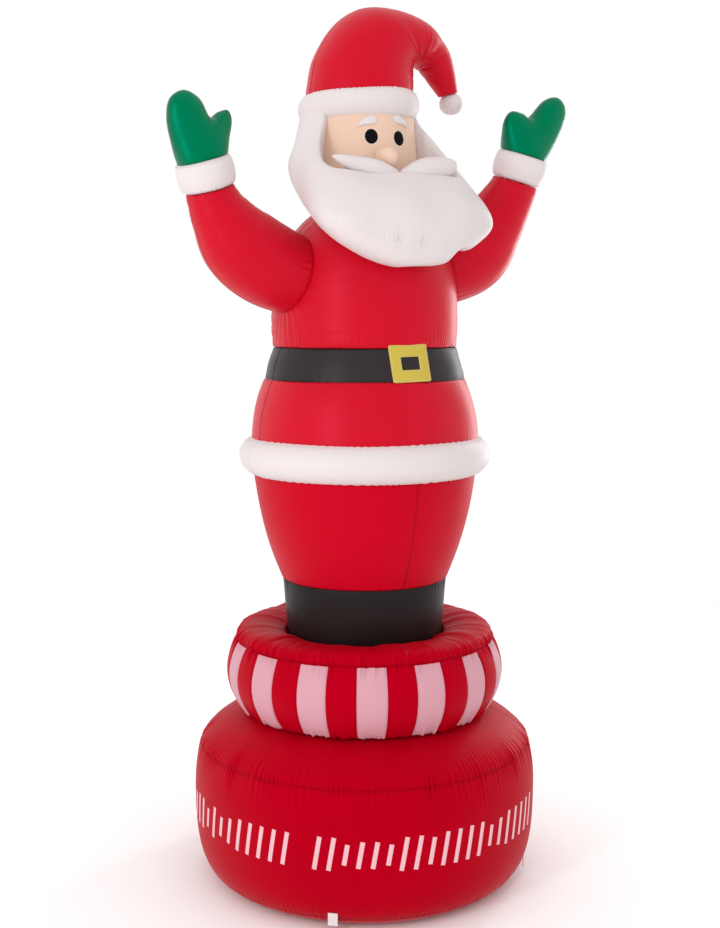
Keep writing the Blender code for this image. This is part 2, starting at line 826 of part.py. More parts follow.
def make_mitten(side):
    mitten = place(f"{side}_mitten", mitten_mesh(side), GREEN)
    beyond_wrist = CUFF_LENGTH + 2 * GAP
    wrist = arm_point(side, ARM_PATHS[side][-1])
    mitten.location = wrist + arm_axis(side) * beyond_wrist
    mitten.rotation_euler = arm_turn(side)


# Webbing tabs


def make_tabs():
    reach = radius_at(drum_side(), TAB_TOP) + GAP + TAB_THICKNESS / 2
    for index in range(TAB_COUNT):
        shape = bmesh.new()
        bmesh.ops.create_cube(shape, size=1.0)
        bmesh.ops.scale(shape, vec=(TAB_WIDTH, TAB_THICKNESS, TAB_LENGTH), verts=shape.verts)
        tab = place(f"stake_tab_{index + 1}", finish_bmesh(shape, "stake_tab"), WEBBING)
        angle = TAB_FIRST_ANGLE + math.tau * index / TAB_COUNT
        middle = (0.0, -reach, TAB_TOP - TAB_LENGTH / 2)
        tab.matrix_world = Matrix.Rotation(angle, 4, "Z") @ Matrix.Translation(middle)


make_drum()
make_ring()
make_body()
make_head()
make_buckle()
make_face()
BODY_CUTTER = make_body_cutter()
HEAD_CUTTER = make_head_cutter()
make_hem(BODY_CUTTER)
make_hat(make_pompom())
BAND_CUTTER = make_band(HEAD_CUTTER)
NOSE_CUTTER = make_nose(HEAD_CUTTER)
MOUSTACHE_CUTTER = make_moustache(NOSE_CUTTER, HEAD_CUTTER)
make_beard(
    (
        make_opening_cutter(),
        HEAD_CUTTER,
        BODY_CUTTER,
        BAND_CUTTER,
        NOSE_CUTTER,
        MOUSTACHE_CUTTER,
    )
)
for SIDE in ("right", "left"):
    make_sleeve(SIDE, BODY_CUTTER)
    make_cuff(SIDE)
    make_mitten(SIDE)
make_tabs()
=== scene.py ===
import math

import bmesh
import bpy
import numpy as np
from mathutils import Matrix, Vector
from mathutils.bvhtree import BVHTree


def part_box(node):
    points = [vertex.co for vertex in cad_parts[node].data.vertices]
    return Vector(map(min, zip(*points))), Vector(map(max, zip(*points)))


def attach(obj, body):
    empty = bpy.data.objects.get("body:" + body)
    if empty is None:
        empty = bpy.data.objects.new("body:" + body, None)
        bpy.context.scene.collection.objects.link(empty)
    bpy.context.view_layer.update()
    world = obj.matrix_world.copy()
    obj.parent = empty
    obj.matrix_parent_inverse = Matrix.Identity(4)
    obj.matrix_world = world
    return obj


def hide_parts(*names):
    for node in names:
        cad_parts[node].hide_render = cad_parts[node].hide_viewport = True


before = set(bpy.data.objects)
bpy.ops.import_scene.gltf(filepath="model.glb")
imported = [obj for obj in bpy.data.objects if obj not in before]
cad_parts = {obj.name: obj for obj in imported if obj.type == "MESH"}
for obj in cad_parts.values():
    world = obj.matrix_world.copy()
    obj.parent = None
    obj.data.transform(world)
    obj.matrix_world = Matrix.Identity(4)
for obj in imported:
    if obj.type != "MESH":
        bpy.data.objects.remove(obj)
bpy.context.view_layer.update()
print("frame loaded with", len(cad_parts), "nodes")

scene = bpy.context.scene


# Camera, at the photograph's angle

cameraSetup = {
    "distance": 3.663,
    "azimuth": math.radians(26.8),
    "height": 1.594,
    "tilt": math.radians(6.43),
    "turn": math.radians(0.2),
    "lens": 50,
    "sensor": 36,
}


def makeCamera(setup):
    data = bpy.data.cameras.new("camera")
    data.lens = setup["lens"]
    data.sensor_width = setup["sensor"]
    camera = bpy.data.objects.new("camera", data)
    scene.collection.objects.link(camera)
    across = -setup["distance"] * math.sin(setup["azimuth"])
    back = -setup["distance"] * math.cos(setup["azimuth"])
    camera.location = (across, back, setup["height"])
    camera.rotation_euler = (math.pi / 2 - setup["tilt"], 0, setup["turn"] - setup["azimuth"])
    scene.camera = camera


makeCamera(cameraSetup)


# Node trees: sums are written with Wires, such as gap * 2.0 + lift


class Wire:
    def __init__(self, socket):
        self.socket = socket

    def calc(self, operation, *values):
        inputs = {0: self, **dict(enumerate(values, 1))}
        return take(self.socket.id_data, "ShaderNodeMath", inputs, operation=operation)

    def vector(self, operation, *other):
        inputs = {0: self, **{"Scale" if operation == "SCALE" else 1: value for value in other}}
        return take(self.socket.id_data, "ShaderNodeVectorMath", inputs, operation=operation)

    def __add__(self, other):
        return self.calc("ADD", other)

    def __sub__(self, other):
        return self.calc("SUBTRACT", other)

    def __mul__(self, other):
        return self.calc("MULTIPLY", other)

    def __truediv__(self, other):
        return self.calc("DIVIDE", other)


def feed(node, inputs):
    for key, value in inputs.items():
        if isinstance(value, Wire):
            node.id_data.links.new(value.socket, node.inputs[key])
        else:
            node.inputs[key].default_value = value


def take(tree, kind, inputs=None, output=0, **settings):
    # Adds a node and gives the Wire from one of its outputs
    node = tree.nodes.new(kind)
    for key, value in settings.items():
        setattr(node, key, value)
    feed(node, inputs or {})
    return Wire(node.outputs[output])


def joined(tree, x, y, z=0.0):
    return take(tree, "ShaderNodeCombineXYZ", {0: x, 1: y, 2: z})


def parted(tree, wire, axis):
    return take(tree, "ShaderNodeSeparateXYZ", {0: wire}, axis)


# Fabric finishes

clothSetup = {
    "cloudScale": 4.0,
    "cloudShade": 0.22,
    "cloudGloss": 0.12,
    "paintedSeamShade": 0.34,
    "threadPitch": 0.00045,
    "threadHeight": 0.000006,
    "crinkleStretch": (13.0, 80.0, 1.0),
    "crinkleHeight": 0.00055,
    "puckerStretch": (190.0, 16.0, 1.0),
    "puckerHeight": 0.0011,
    "satinDepth": 0.24,
    "sheenRoughness": 0.3,
    "sheenColour": 0.7,
}


def nylon(name, colour, shade, roughness=0.40, shine=0.38, sheen=0.0, crinkle=1.0):
    # Woven nylon on the "weave" UV map, which is in metres. It darkens into the seams, a painted
    # shade of their creases.
    material = bpy.data.materials.new(name)
    material.use_nodes = True
    tree = material.node_tree
    setup = clothSetup
    place = take(tree, "ShaderNodeUVMap", uv_map="weave")
    seam = take(tree, "ShaderNodeAttribute", None, "Fac", attribute_name="seamNear")
    spot = take(tree, "ShaderNodeTexCoord", None, "Object")
    cloud = {"Vector": spot, "Scale": setup["cloudScale"], "Detail": 3.0}
    cloud = take(tree, "ShaderNodeTexNoise", cloud)
    # Painted shade in the seam creases, and a cloudy tone that differs at random
    dark = seam * setup["paintedSeamShade"] + cloud * setup["cloudShade"]
    tint = take(tree, "ShaderNodeValToRGB", {0: dark})
    for stop, shown in zip(tint.socket.node.color_ramp.elements, (colour, shade)):
        stop.color = (*shown, 1.0)

    ripples = math.tau / setup["threadPitch"]
    warp, weft = [(parted(tree, place, axis) * ripples).calc("SINE") for axis in (0, 1)]
    height = warp * weft * setup["threadHeight"]
    for stretch, depth in (
        (setup["crinkleStretch"], setup["crinkleHeight"] * crinkle),
        (setup["puckerStretch"], seam * setup["puckerHeight"]),
    ):
        noise = {"Vector": place.vector("MULTIPLY", stretch), "Scale": 1.0, "Detail": 2.0}
        height = height + take(tree, "ShaderNodeTexNoise", noise) * depth

    satin = [(part / max(colour)) ** setup["satinDepth"] for part in colour]
    finish = {
        "Base Color": tint,
        "Normal": take(tree, "ShaderNodeBump", {"Height": height, "Distance": 1.0, "Strength": 1.0}),
        "Roughness": cloud * setup["cloudGloss"] + (roughness - setup["cloudGloss"] / 2),
        "Specular IOR Level": shine,
        "Specular Tint": satin + [1.0],
        "Sheen Weight": sheen,
        "Sheen Roughness": setup["sheenRoughness"],
        "Sheen Tint": [1 + setup["sheenColour"] * (part - 1) for part in colour] + [1.0],
    }
    feed(tree.nodes["Principled BSDF"], finish)
    return material


# The slot, colour, colour in the seams (mostly a painted shade of their creases), roughness, shine,
# sheen and crinkle of each cloth
finishes = {
    "redCloth": ("red_nylon", (0.60, 0.002, 0.014), (0.24, 0.0, 0.004)),
    # Darker copies of the red for the trousers, drum and ring: painted shade of the light falling
    # off lower down
    "trouserRedPaintedShade": ("red_nylon", (0.565, 0.001, 0.013), (0.22, 0.0, 0.004), 0.46, 0.13),
    "drumRedPaintedShade": ("red_nylon", (0.46, 0.0, 0.009), (0.20, 0.0, 0.003), 0.48, 0.07),
    "whiteCloth": ("white_nylon", (0.735, 0.67, 0.665), (0.58, 0.50, 0.51), 0.45, 0.2, 0.03, 0.7),
    # The ring's white stripes: white nylon painted pink, a painted glow of red light through the
    # cloth
    "whitePaintedRedGlow": ("white_nylon", (0.65, 0.34, 0.395), (0.46, 0.14, 0.19), 0.45, 0.12),
    "blackCloth": ("black_nylon", (0.014, 0.009, 0.009), (0.004, 0.003, 0.003), 0.40, 0.16),
    "greenCloth": ("green_nylon", (0.0, 0.145, 0.048), (0.0, 0.05, 0.016), 0.36, 0.60),
    "skinCloth": ("skin_nylon", (0.80, 0.575, 0.45), (0.64, 0.32, 0.20), 0.5, 0.12, 0.03, 0.6),
    "yellowCloth": ("yellow_nylon", (0.52, 0.40, 0.045), (0.85, 0.66, 0.18), 0.5),
    # A paler copy of the black nylon for the belt: painted sheen
    "beltBlackPaintedSheen": ("black_nylon", (0.025, 0.019, 0.020), (0.008, 0.006, 0.006), 0.38, 0.20),
    "eyeCloth": ("black_nylon", (0.004, 0.004, 0.004), (0.002, 0.002, 0.002), 0.35, 0.05),
    "markCloth": ("white_nylon", (0.84, 0.50, 0.53), (0.60, 0.25, 0.28), 0.5),
    "webbing": ("white_webbing", (0.78, 0.70, 0.70), (0.50, 0.42, 0.42), 0.7),
    "redThread": ("red_nylon", (0.40, 0.002, 0.012), (0.25, 0.0, 0.006), 0.6),
    "whiteThread": ("white_nylon", (0.66, 0.58, 0.58), (0.50, 0.42, 0.42), 0.6),
    "blackThread": ("black_nylon", (0.03, 0.03, 0.03), (0.01, 0.01, 0.01), 0.6),
}
cloths = {name: nylon(name, *finish[1:]) for name, finish in finishes.items()}
print("fabric finishes made")


# Profiles of turned panels, as (radius, height) points that run down the outer side

sharpAngle = math.radians(60)


def turnsOf(count):
    return np.arange(count) * math.tau / count


def lengthsOf(line):
    return np.concatenate([[0], np.cumsum(np.linalg.norm(np.diff(line, axis=0), axis=1))])


def ringPoints(radius, turns, height, back=0.0):
    across, behind = radius * np.sin(turns), back - radius * np.cos(turns)
    return np.stack(np.broadcast_arrays(across, behind, height), -1)


def roundCorner(inner, rim, foot, top, power=2.0, reach=1.0, steps=48):
    # From the top, at radius inner, out and down to the rim. A higher power is squarer.
    turns = np.linspace(math.asin(reach ** (power / 2)), 0, steps + 1)
    across = np.cos(turns) ** (2 / power)
    up = np.sin(turns) ** (2 / power)
    return np.column_stack([inner + (rim - inner) * across, foot + (top - foot) * up])


def bowed(top, foot, bulge, steps=48):
    share = np.linspace(0, 1, steps + 1)[:, None]
    top, foot = np.array(top), np.array(foot)
    chord = foot - top
    outwards = np.array([-chord[1], chord[0]]) / np.hypot(*chord)
    return top + chord * share + outwards * (4 * share * (1 - share) * bulge)


def smoothPath(points, steps):
    # Catmull-Rom curve through points of any width
    points = np.array(points, float)
    ends = np.vstack([2 * points[0] - points[1], points, 2 * points[-1] - points[-2]])
    path = [points[:1]]
    share = (np.arange(steps) + 1)[:, None] / steps
    for before, start, stop, after in zip(ends, ends[1:], ends[2:], ends[3:]):
        pull = (stop - before) * share
        pull = pull + (2 * before - 5 * start + 4 * stop - after) * share**2
        pull = pull + (3 * start - before - 3 * stop + after) * share**3
        path.append(start + pull / 2)
    return np.vstack(path)


def spacedRows(parts, fine, coarse, reach):
    # Rows down a profile, closer together near the joints of its parts, where the seams are
    line = np.vstack([parts[0]] + [part[1:] for part in parts[1:]])
    along = lengthsOf(line)
    counts = np.cumsum([len(parts[0])] + [len(part) - 1 for part in parts[1:]]) - 1
    joints = [0.0] + [along[count] for count in counts]
    marks = np.linspace(0, along[-1], 4000)
    density = np.full_like(marks, 1 / coarse)
    for joint in joints:
        density += (1 / fine - 1 / coarse) * np.exp(-(((marks - joint) / reach) ** 2))
    total = np.concatenate([[0], np.cumsum((density[1:] + density[:-1]) / 2 * np.diff(marks))])
    stops = np.interp(np.linspace(0, total[-1], int(total[-1]) + 1), total, marks)
    return *[np.interp(stops, along, column) for column in line.T], stops, joints


# Cloth relief: slow drifts, and the rounded pleats that gather along a seam


def drift(turns, low, high, seed, waves=7):
    draws = np.random.default_rng(seed)
    numbers = draws.integers(low, high + 1, waves)
    phases = draws.uniform(0, math.tau, waves)
    total = sum(np.cos(number * turns + phase) for number, phase in zip(numbers, phases))
    return total / math.sqrt(waves)


pleatSetup = {
    "wander": 2.0,
    "mean": 0.64,
    "strength": 0.62,
    "strengthDrift": 0.5,
    "strengthRange": (0.05, 1.4),
    "reach": 0.8,
    "reachDrift": 0.3,
    "reachLeast": 0.25,
    "fall": 1.4,
    "nearWidth": 1.3,
    "nearFall": 1.5,
}


def pleats(turns, number, seed):
    setup = pleatSetup
    phase = turns * number / 2 + setup["wander"] * drift(turns, 2, max(6, number // 8), seed)
    fold = np.abs(np.sin(phase)) - setup["mean"]
    change = setup["strengthDrift"] * drift(turns, 3, max(9, number // 3), seed + 1)
    return fold * np.clip(setup["strength"] + change, *setup["strengthRange"])


def seamRelief(gap, turns, seam):
    # How far the cloth stands out at a distance gap from a seam, and how near the seam is
    setup = pleatSetup
    change = setup["reachDrift"] * drift(turns, 2, 19, seam["seed"] + 2)
    reach = seam["reach"] * (setup["reach"] + change)
    reach = np.maximum(reach, seam["reach"] * setup["reachLeast"])
    folds = pleats(turns, seam["pleats"], seam["seed"])
    push = seam["depth"] * folds * np.exp(-((gap / reach) ** setup["fall"]))
    push = push - seam["crease"] * np.exp(-((gap / seam["width"]) ** 2))
    return push, np.exp(-((gap / (seam["width"] * setup["nearWidth"])) ** setup["nearFall"]))


def sewAll(marks, shape):
    # The whole relief of seams, each given as (gap to it, way along it, seam or None)
    push, near = np.zeros(shape), np.zeros(shape)
    for gap, way, seam in marks:
        if seam:
            relief, close = seamRelief(gap, way, seam)
            push = push + relief
            near = np.maximum(near, close)
    return push, near


def sewn(seed, **changes):
    seam = {"pleats": 150, "depth": 0.0012, "reach": 0.022, "crease": 0.0020, "width": 0.0028}
    return {**seam, "seed": seed, **changes}


def gapRound(turns, angle):
    return (turns - angle + math.pi) % math.tau - math.pi


# Meshes from grids of points. Rows run downwards and columns turn to the left of the front.


def gridQuads(rows, columns, closed):
    above = np.arange(rows if closed else rows - 1)[:, None]
    below = (above + 1) % rows
    here = np.arange(columns)[None, :]
    following = (here + 1) % columns
    corners = [above * columns + here, below * columns + here]
    corners += [below * columns + following, above * columns + following]
    return np.stack(corners, -1).reshape(-1, 4)


def gridMesh(name, grid, closed=False):
    # Ends are closed with fans, or joined to each other where the profile is a loop
    points, near = grid["points"], grid["near"]
    rows, columns = points.shape[:2]
    quads = gridQuads(rows, columns, closed).tolist()
    spots, marks = points.reshape(-1, 3), near.ravel()
    around = grid["around"] * np.arange(columns + 1) / columns
    around, down = np.broadcast_arrays(around[None, :], -grid["stops"][:, None])
    flat = np.stack([around, down], -1)
    if closed:
        flat = np.vstack([flat, flat[-1:] - (0, 0.1)])
    cloth = np.stack([flat[:-1, :-1], flat[1:, :-1], flat[1:, 1:], flat[:-1, 1:]], 2).reshape(-1, 2)
    if not closed:
        here = np.arange(columns)
        following = (here + 1) % columns
        last = (rows - 1) * columns
        middle = np.full(columns, rows * columns)
        quads += np.stack([middle, here, following], -1).tolist()
        quads += np.stack([middle + 1, last + following, last + here], -1).tolist()
        spots = np.vstack([spots, points[0].mean(0), points[-1].mean(0)])
        marks = np.append(marks, [0.0, 0.0])
        cloth = np.vstack([cloth, np.zeros((6 * columns, 2))])
    mesh = bpy.data.meshes.new(name)
    mesh.from_pydata(spots.tolist(), [], quads)
    mesh.shade_smooth()
    mesh.set_sharp_from_angle(angle=sharpAngle)
    markSeams(mesh, marks)
    layer = mesh.uv_layers.new(name="weave")
    layer.data.foreach_set("uv", cloth.astype(np.float32).ravel())
    return mesh


def markSeams(mesh, near):
    share = mesh.attributes.get("seamNear") or mesh.attributes.new("seamNear", "FLOAT", "POINT")
    share.data.foreach_set("value", near.astype(np.float32))


lumpSetup = {"depth": 0.0012, "even": 0.6, "rising": 0.7, "rises": 2.3}


def turnedGrid(parts, seams, setup, place=None):
    # Turns a profile round Z. seams holds one seam, or None, for each joint between parts.
    fine, coarse = setup.get("rows", (0.0035, 0.011))
    radius, height, stops, joints = spacedRows(parts, fine, coarse, setup.get("dense", 0.03))
    turns = turnsOf(setup["columns"])
    slope = np.array([np.gradient(radius, stops), np.gradient(height, stops)])
    slope = (slope / np.hypot(*slope))[..., None]
    marks = [(np.abs(stops - joint)[:, None], turns, seam) for joint, seam in zip(joints, seams)]
    along = stops[:, None] / stops[-1] * math.tau
    for seam in setup.get("upright", ()):
        marks.append((np.abs(gapRound(turns, seam["angle"]) * radius[:, None]), along, seam))
    push, near = sewAll(marks, (len(stops), len(turns)))
    slow = drift(turns, 1, 5, setup["seed"])[None, :]
    rise = np.sin(stops / stops[-1] * math.pi * lumpSetup["rises"] + setup["seed"])[:, None]
    lumps = lumpSetup["even"] * slow + lumpSetup["rising"] * slow[:, ::-1] * rise
    push += setup.get("lump", lumpSetup["depth"]) * lumps
    if "relief" in setup:
        push += setup["relief"](radius, height, turns)
    out = (radius[:, None] - slope[1] * push).clip(0.0005)
    points = ringPoints(out, turns, height[:, None] + slope[0] * push)
    if place is not None:
        points = moved(points, place)
    return {"points": points, "near": near, "stops": stops, "around": math.tau * radius.max()}


def moved(points, place):
    flat = np.array(place)
    return points @ flat[:3, :3].T + flat[:3, 3]


# Pieces


def addObject(name, mesh):
    thing = bpy.data.objects.new(name, mesh)
    scene.collection.objects.link(thing)
    return thing


def addPiece(name, mesh, cloth, nodes=()):
    # A mesh that has its cloths already keeps them
    piece = addObject(name, mesh)
    if not mesh.materials:
        mesh.materials.append(cloths[cloth])
    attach(piece, "root")
    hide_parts(*nodes)
    print(name, "has", len(mesh.polygons), "faces")
    return piece


def sewPanel(name, grid, cloth, nodes=(), closed=False):
    return addPiece(name, gridMesh(name, grid, closed), cloth, nodes)


def baked(thing):
    graph = bpy.context.evaluated_depsgraph_get()
    mesh = bpy.data.meshes.new_from_object(thing.evaluated_get(graph))
    bpy.data.objects.remove(thing)
    return mesh


def shaped(mesh, *steps):
    # The mesh after a row of modifiers, each given as (kind, settings)
    thing = addObject("shaping", mesh)
    for kind, settings in steps:
        modifier = thing.modifiers.new(kind.lower(), kind)
        for key, value in settings.items():
            setattr(modifier, key, value)
    return baked(thing)


def cutBy(*others):
    return [("BOOLEAN", {"operation": "DIFFERENCE", "object": other}) for other in others]


def spotsOf(mesh, field="co"):
    source = mesh.vertices if field == "co" else mesh.vertex_normals
    spots = np.empty(len(mesh.vertices) * 3, np.float32)
    source.foreach_get("co" if field == "co" else "vector", spots)
    return spots.reshape(-1, 3).astype(float)


def pushOut(mesh, push, near):
    spots = spotsOf(mesh) + spotsOf(mesh, "normal") * push[:, None]
    mesh.vertices.foreach_set("co", spots.astype(np.float32).ravel())
    mesh.update()
    markSeams(mesh, near)


def wrapWeave(mesh, middle, radius):
    # Lays the weave round an upright axis, in metres, on a mesh that has no cloth map
    spots = spotsOf(mesh)
    turns = np.arctan2(spots[:, 0] - middle[0], middle[1] - spots[:, 1])
    corners = np.empty(len(mesh.loops), np.int32)
    mesh.loops.foreach_get("vertex_index", corners)
    starts = np.empty(len(mesh.polygons), np.int32)
    mesh.polygons.foreach_get("loop_start", starts)
    first = np.repeat(turns[corners[starts]], np.diff(np.append(starts, len(corners))))
    around = (first + gapRound(turns[corners], first)) * radius
    flat = np.column_stack([around, spots[corners, 2]])
    layer = mesh.uv_layers.get("weave") or mesh.uv_layers.new(name="weave")
    layer.data.foreach_set("uv", flat.astype(np.float32).ravel())


def cutPiece(name, mesh, others, cloth, nodes):
    # A stuffed part that ends where it meets others
    mesh = shaped(mesh, *cutBy(*others))
    mesh.set_sharp_from_angle(angle=sharpAngle)
    addPiece(name, mesh, cloth, nodes)


def faceOutwards(mesh, rework=None):
    shape = bmesh.new()
    shape.from_mesh(mesh)
    if rework:
        rework(shape)
    bmesh.ops.recalc_face_normals(shape, faces=shape.faces)
    shape.to_mesh(mesh)
    shape.free()


def levelsOf(node):
    low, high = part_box(node)
    return low.z, high.z, high.x


# Drum on the ground

drumSetup = {
    "columns": 760,
    "rows": (0.0036, 0.0130),
    "dense": 0.060,
    "seed": 3,
    "footRadius": 0.345,
    "widestHeight": 0.270,
    "seamRadius": 0.4735,
    "seamHeight": 0.390,
    "seatRadius": 0.322,
    "shoulderBulge": 0.0045,
    "footPower": 3.3,
    "topPower": 1.4,
    "topSeam": sewn(31, pleats=190, depth=0.0055, reach=0.058, crease=0.0026, width=0.003),
    "footSeam": sewn(32, pleats=190, depth=0.0030, reach=0.030, crease=0.0016, width=0.003),
    "footSeamRow": 0.60,
    "uprightAngles": {40: math.radians(60), 41: math.radians(-120)},
}


def makeDrum(setup):
    _, top, widest = levelsOf("base_drum")
    belly = setup["widestHeight"]
    seam = (setup["seamRadius"], setup["seamHeight"])
    lid = roundCorner(setup["seatRadius"], *seam, top, setup["topPower"])
    corner = roundCorner(setup["footRadius"], widest, belly, 0.0, setup["footPower"])
    corner = corner[::-1]
    split = int(len(corner) * setup["footSeamRow"])
    side = np.vstack([bowed(seam, (widest, belly), setup["shoulderBulge"]), corner[1:split]])
    angles = setup["uprightAngles"]
    upright = [sewn(seed, pleats=40, reach=0.014, angle=angle) for seed, angle in angles.items()]
    seams = (None, setup["topSeam"], setup["footSeam"], None)
    parts = [lid, side, corner[split - 1 :]]
    grid = turnedGrid(parts, seams, {**setup, "upright": upright})
    # The drum's darker red is painted shade
    return sewPanel("drumSkin", grid, "drumRedPaintedShade", ["base_drum"])


drumSkin = makeDrum(drumSetup)


# Boots, trousers, coat and belt, one above the other

bodySetup = {
    "sole": 0.2196,
    "ankle": 0.2355,
    "hip": 0.3195,
    "beltFoot": 0.2827,
    "waist": 0.2577,
    "chest": 0.262,
    "trouserBulge": 0.0165,
    "skirtBulge": 0.0145,
    "beltBulge": 0.0015,
    "chestBulge": 0.002,
    "shoulderLevel": 1.6006,
    "shoulderReach": 0.322,
    "shoulderPower": 2.3,
    "columns": 640,
}
bodySeams = {
    "boot": sewn(51, pleats=120, depth=0.0020, reach=0.030),
    "hip": sewn(52, pleats=150, depth=0.0022, reach=0.035),
    "beltFoot": sewn(53, pleats=120, depth=0.0018, reach=0.030),
    "beltTop": sewn(54, pleats=120, depth=0.0020, reach=0.036),
    "beltFootEdge": sewn(53, pleats=120, depth=0.0008, reach=0.020),
    "beltTopEdge": sewn(54, pleats=120, depth=0.0008, reach=0.020),
    "front": sewn(55, pleats=60, depth=0.0008, reach=0.016, crease=0.0010, width=0.0020, angle=0.0),
    "back": sewn(56, pleats=60, depth=0.0008, reach=0.016, angle=math.pi),
    "right": sewn(57, pleats=60, depth=0.0010, reach=0.020, angle=-math.pi / 2),
    "left": sewn(58, pleats=60, depth=0.0010, reach=0.020, angle=math.pi / 2),
}
wrinkleSetup = {
    "armLevel": 1.700,
    "armRadius": 0.130,
    "reach": 0.070,
    "curl": 2.0,
    "folds": 34,
    "depth": 0.0022,
    "roundLevel": 1.56,
    "roundReach": 0.14,
    "roundTurns": 165.0,
    "roundDepth": 0.0008,
    "sway": 0.02,
    "seed": 161,
}


def chestWrinkles(radius, height, turns):
    # Faint folds fan out from each armhole, and others run round under the beard
    push = 0
    setup = wrinkleSetup
    for hand in (-1, 1):
        across = radius[:, None] * gapRound(turns, hand * math.pi / 2)[None, :]
        up = (height - setup["armLevel"])[:, None] + 0 * across
        away = np.hypot(across, up)
        fan = np.arctan2(up, -hand * across)
        folds = pleats(fan + setup["curl"] * away, setup["folds"], setup["seed"] + hand)
        fade = np.exp(-(((away - setup["armRadius"]) / setup["reach"]) ** 2))
        push = push + setup["depth"] * folds * fade
    low = (height - setup["roundLevel"])[:, None]
    sway = setup["sway"] * drift(turns, 1, 4, setup["seed"] + 5)[None, :]
    band = np.sin((low + sway) * setup["roundTurns"])
    band = band * np.exp(-((low / setup["roundReach"]) ** 2))
    patches = (0.5 + 0.7 * drift(turns, 2, 7, setup["seed"] + 6)).clip(0, 1.5)[None, :]
    return push + setup["roundDepth"] * band * patches


# Node, cloth, sizes at the top and foot, bulge, seams there, seams down it, seed
bodyPanels = {
    "bootSkin": (
        "boots", "blackCloth", ("ankle", "sole"), 0.0,
        ("boot", None), ("back",), 61,
    ),
    # The trousers' darker red is painted shade
    "trouserSkin": (
        "trousers", "trouserRedPaintedShade", ("hip", "ankle"), bodySetup["trouserBulge"],
        ("hip", "boot"), ("front", "back"), 62,
    ),
    "skirtSkin": (
        "coat_skirt", "redCloth", ("beltFoot", "hip"), bodySetup["skirtBulge"],
        ("beltFoot", "hip"), ("right", "left"), 63,
    ),
    # The belt's paler black is a painted sheen
    "beltSkin": (
        "belt", "beltBlackPaintedSheen", ("waist", "beltFoot"), bodySetup["beltBulge"],
        ("beltTopEdge", "beltFootEdge"), ("right", "left"), 64,
    ),
    "coatTopSkin": (
        "coat_top", "redCloth", ("chest", "waist"), bodySetup["chestBulge"],
        (None, "beltTop"), (), 65,
    ),
}


def makeBody(setup):
    body = {}
    for name, values in bodyPanels.items():
        node, cloth, sizes, bulge, ends, upright, seed = values
        low, high, _ = levelsOf(node)
        top, foot = [setup[size] for size in sizes]
        panel = {"columns": setup["columns"], "seed": seed}
        panel["upright"] = [bodySeams[side] for side in upright]
        side = bowed((top, high), (foot, low), bulge)
        if node == "coat_top":
            level, reach = setup["shoulderLevel"], setup["shoulderReach"]
            share = (high - level) / reach
            crown = roundCorner(0.0, top, level, level + reach, setup["shoulderPower"], share)
            side = np.vstack([crown, bowed((top, level), (foot, low), bulge)[1:]])
            panel["relief"] = chestWrinkles
        grid = turnedGrid([side], [bodySeams.get(end) for end in ends], panel)
        body[name] = sewPanel(name, grid, cloth, [node])
    return body


body = makeBody(bodySetup)


# Padded rings: the coat's hem and the hat's band

hemSetup = {"proud": 0.0365, "tube": 0.054, "spread": 72, "columns": 640, "seed": 71}
bandSetup = {
    "radius": 0.1697,
    "thickness": 0.050,
    "tallness": 0.078,
    "spread": 79,
    "drop": 0.023,
    "roll": math.radians(3.5),
    "headBack": 0.037,
    "hatLevel": 2.2006,
    "columns": 420,
    "seed": 74,
}


def ringArc(radius, halfThickness, halfHeight, level, spread):
    turns = np.radians(np.linspace(spread, -spread, 60))
    across = radius + halfThickness * np.cos(turns)
    return np.column_stack([across, level + halfHeight * np.sin(turns)])


def makeHem(setup):
    low, high, _ = levelsOf("coat_hem")
    radius = bodySetup["hip"] + setup["proud"] - setup["tube"]
    arc = ringArc(radius, setup["tube"], setup["tube"], (low + high) / 2, setup["spread"])
    seam = sewn(72, pleats=84, depth=0.0024, reach=0.036, crease=0.0)
    setup = {**setup, "rows": (0.0036, 0.006), "upright": [{**bodySeams["right"], "crease": 0.004}]}
    grid = turnedGrid([arc], (seam, {**seam, "seed": 73}), setup)
    return sewPanel("hemSkin", grid, "whiteCloth", ["coat_hem"], closed=True)


def makeBand(setup):
    half = setup["thickness"] / 2
    arc = ringArc(setup["radius"] - half, half, setup["tallness"] / 2, 0.0, setup["spread"])
    seam = sewn(75, pleats=70, depth=0.0022, reach=0.025, crease=0.0)
    spot = (0.0, setup["headBack"], setup["hatLevel"] - setup["drop"])
    place = Matrix.Translation(spot) @ Matrix.Rotation(-setup["roll"], 4, "Y")
    back = sewn(77, pleats=20, depth=0.0020, reach=0.02, angle=math.pi)
    setup = {**setup, "rows": (0.0030, 0.005), "upright": [back]}
    grid = turnedGrid([arc], (seam, {**seam, "seed": 76}), setup, place)
    return sewPanel("hatBandSkin", grid, "whiteCloth", ["hat_band"], closed=True)


hemSkin = makeHem(hemSetup)
makeBand(bandSetup)


# Arms

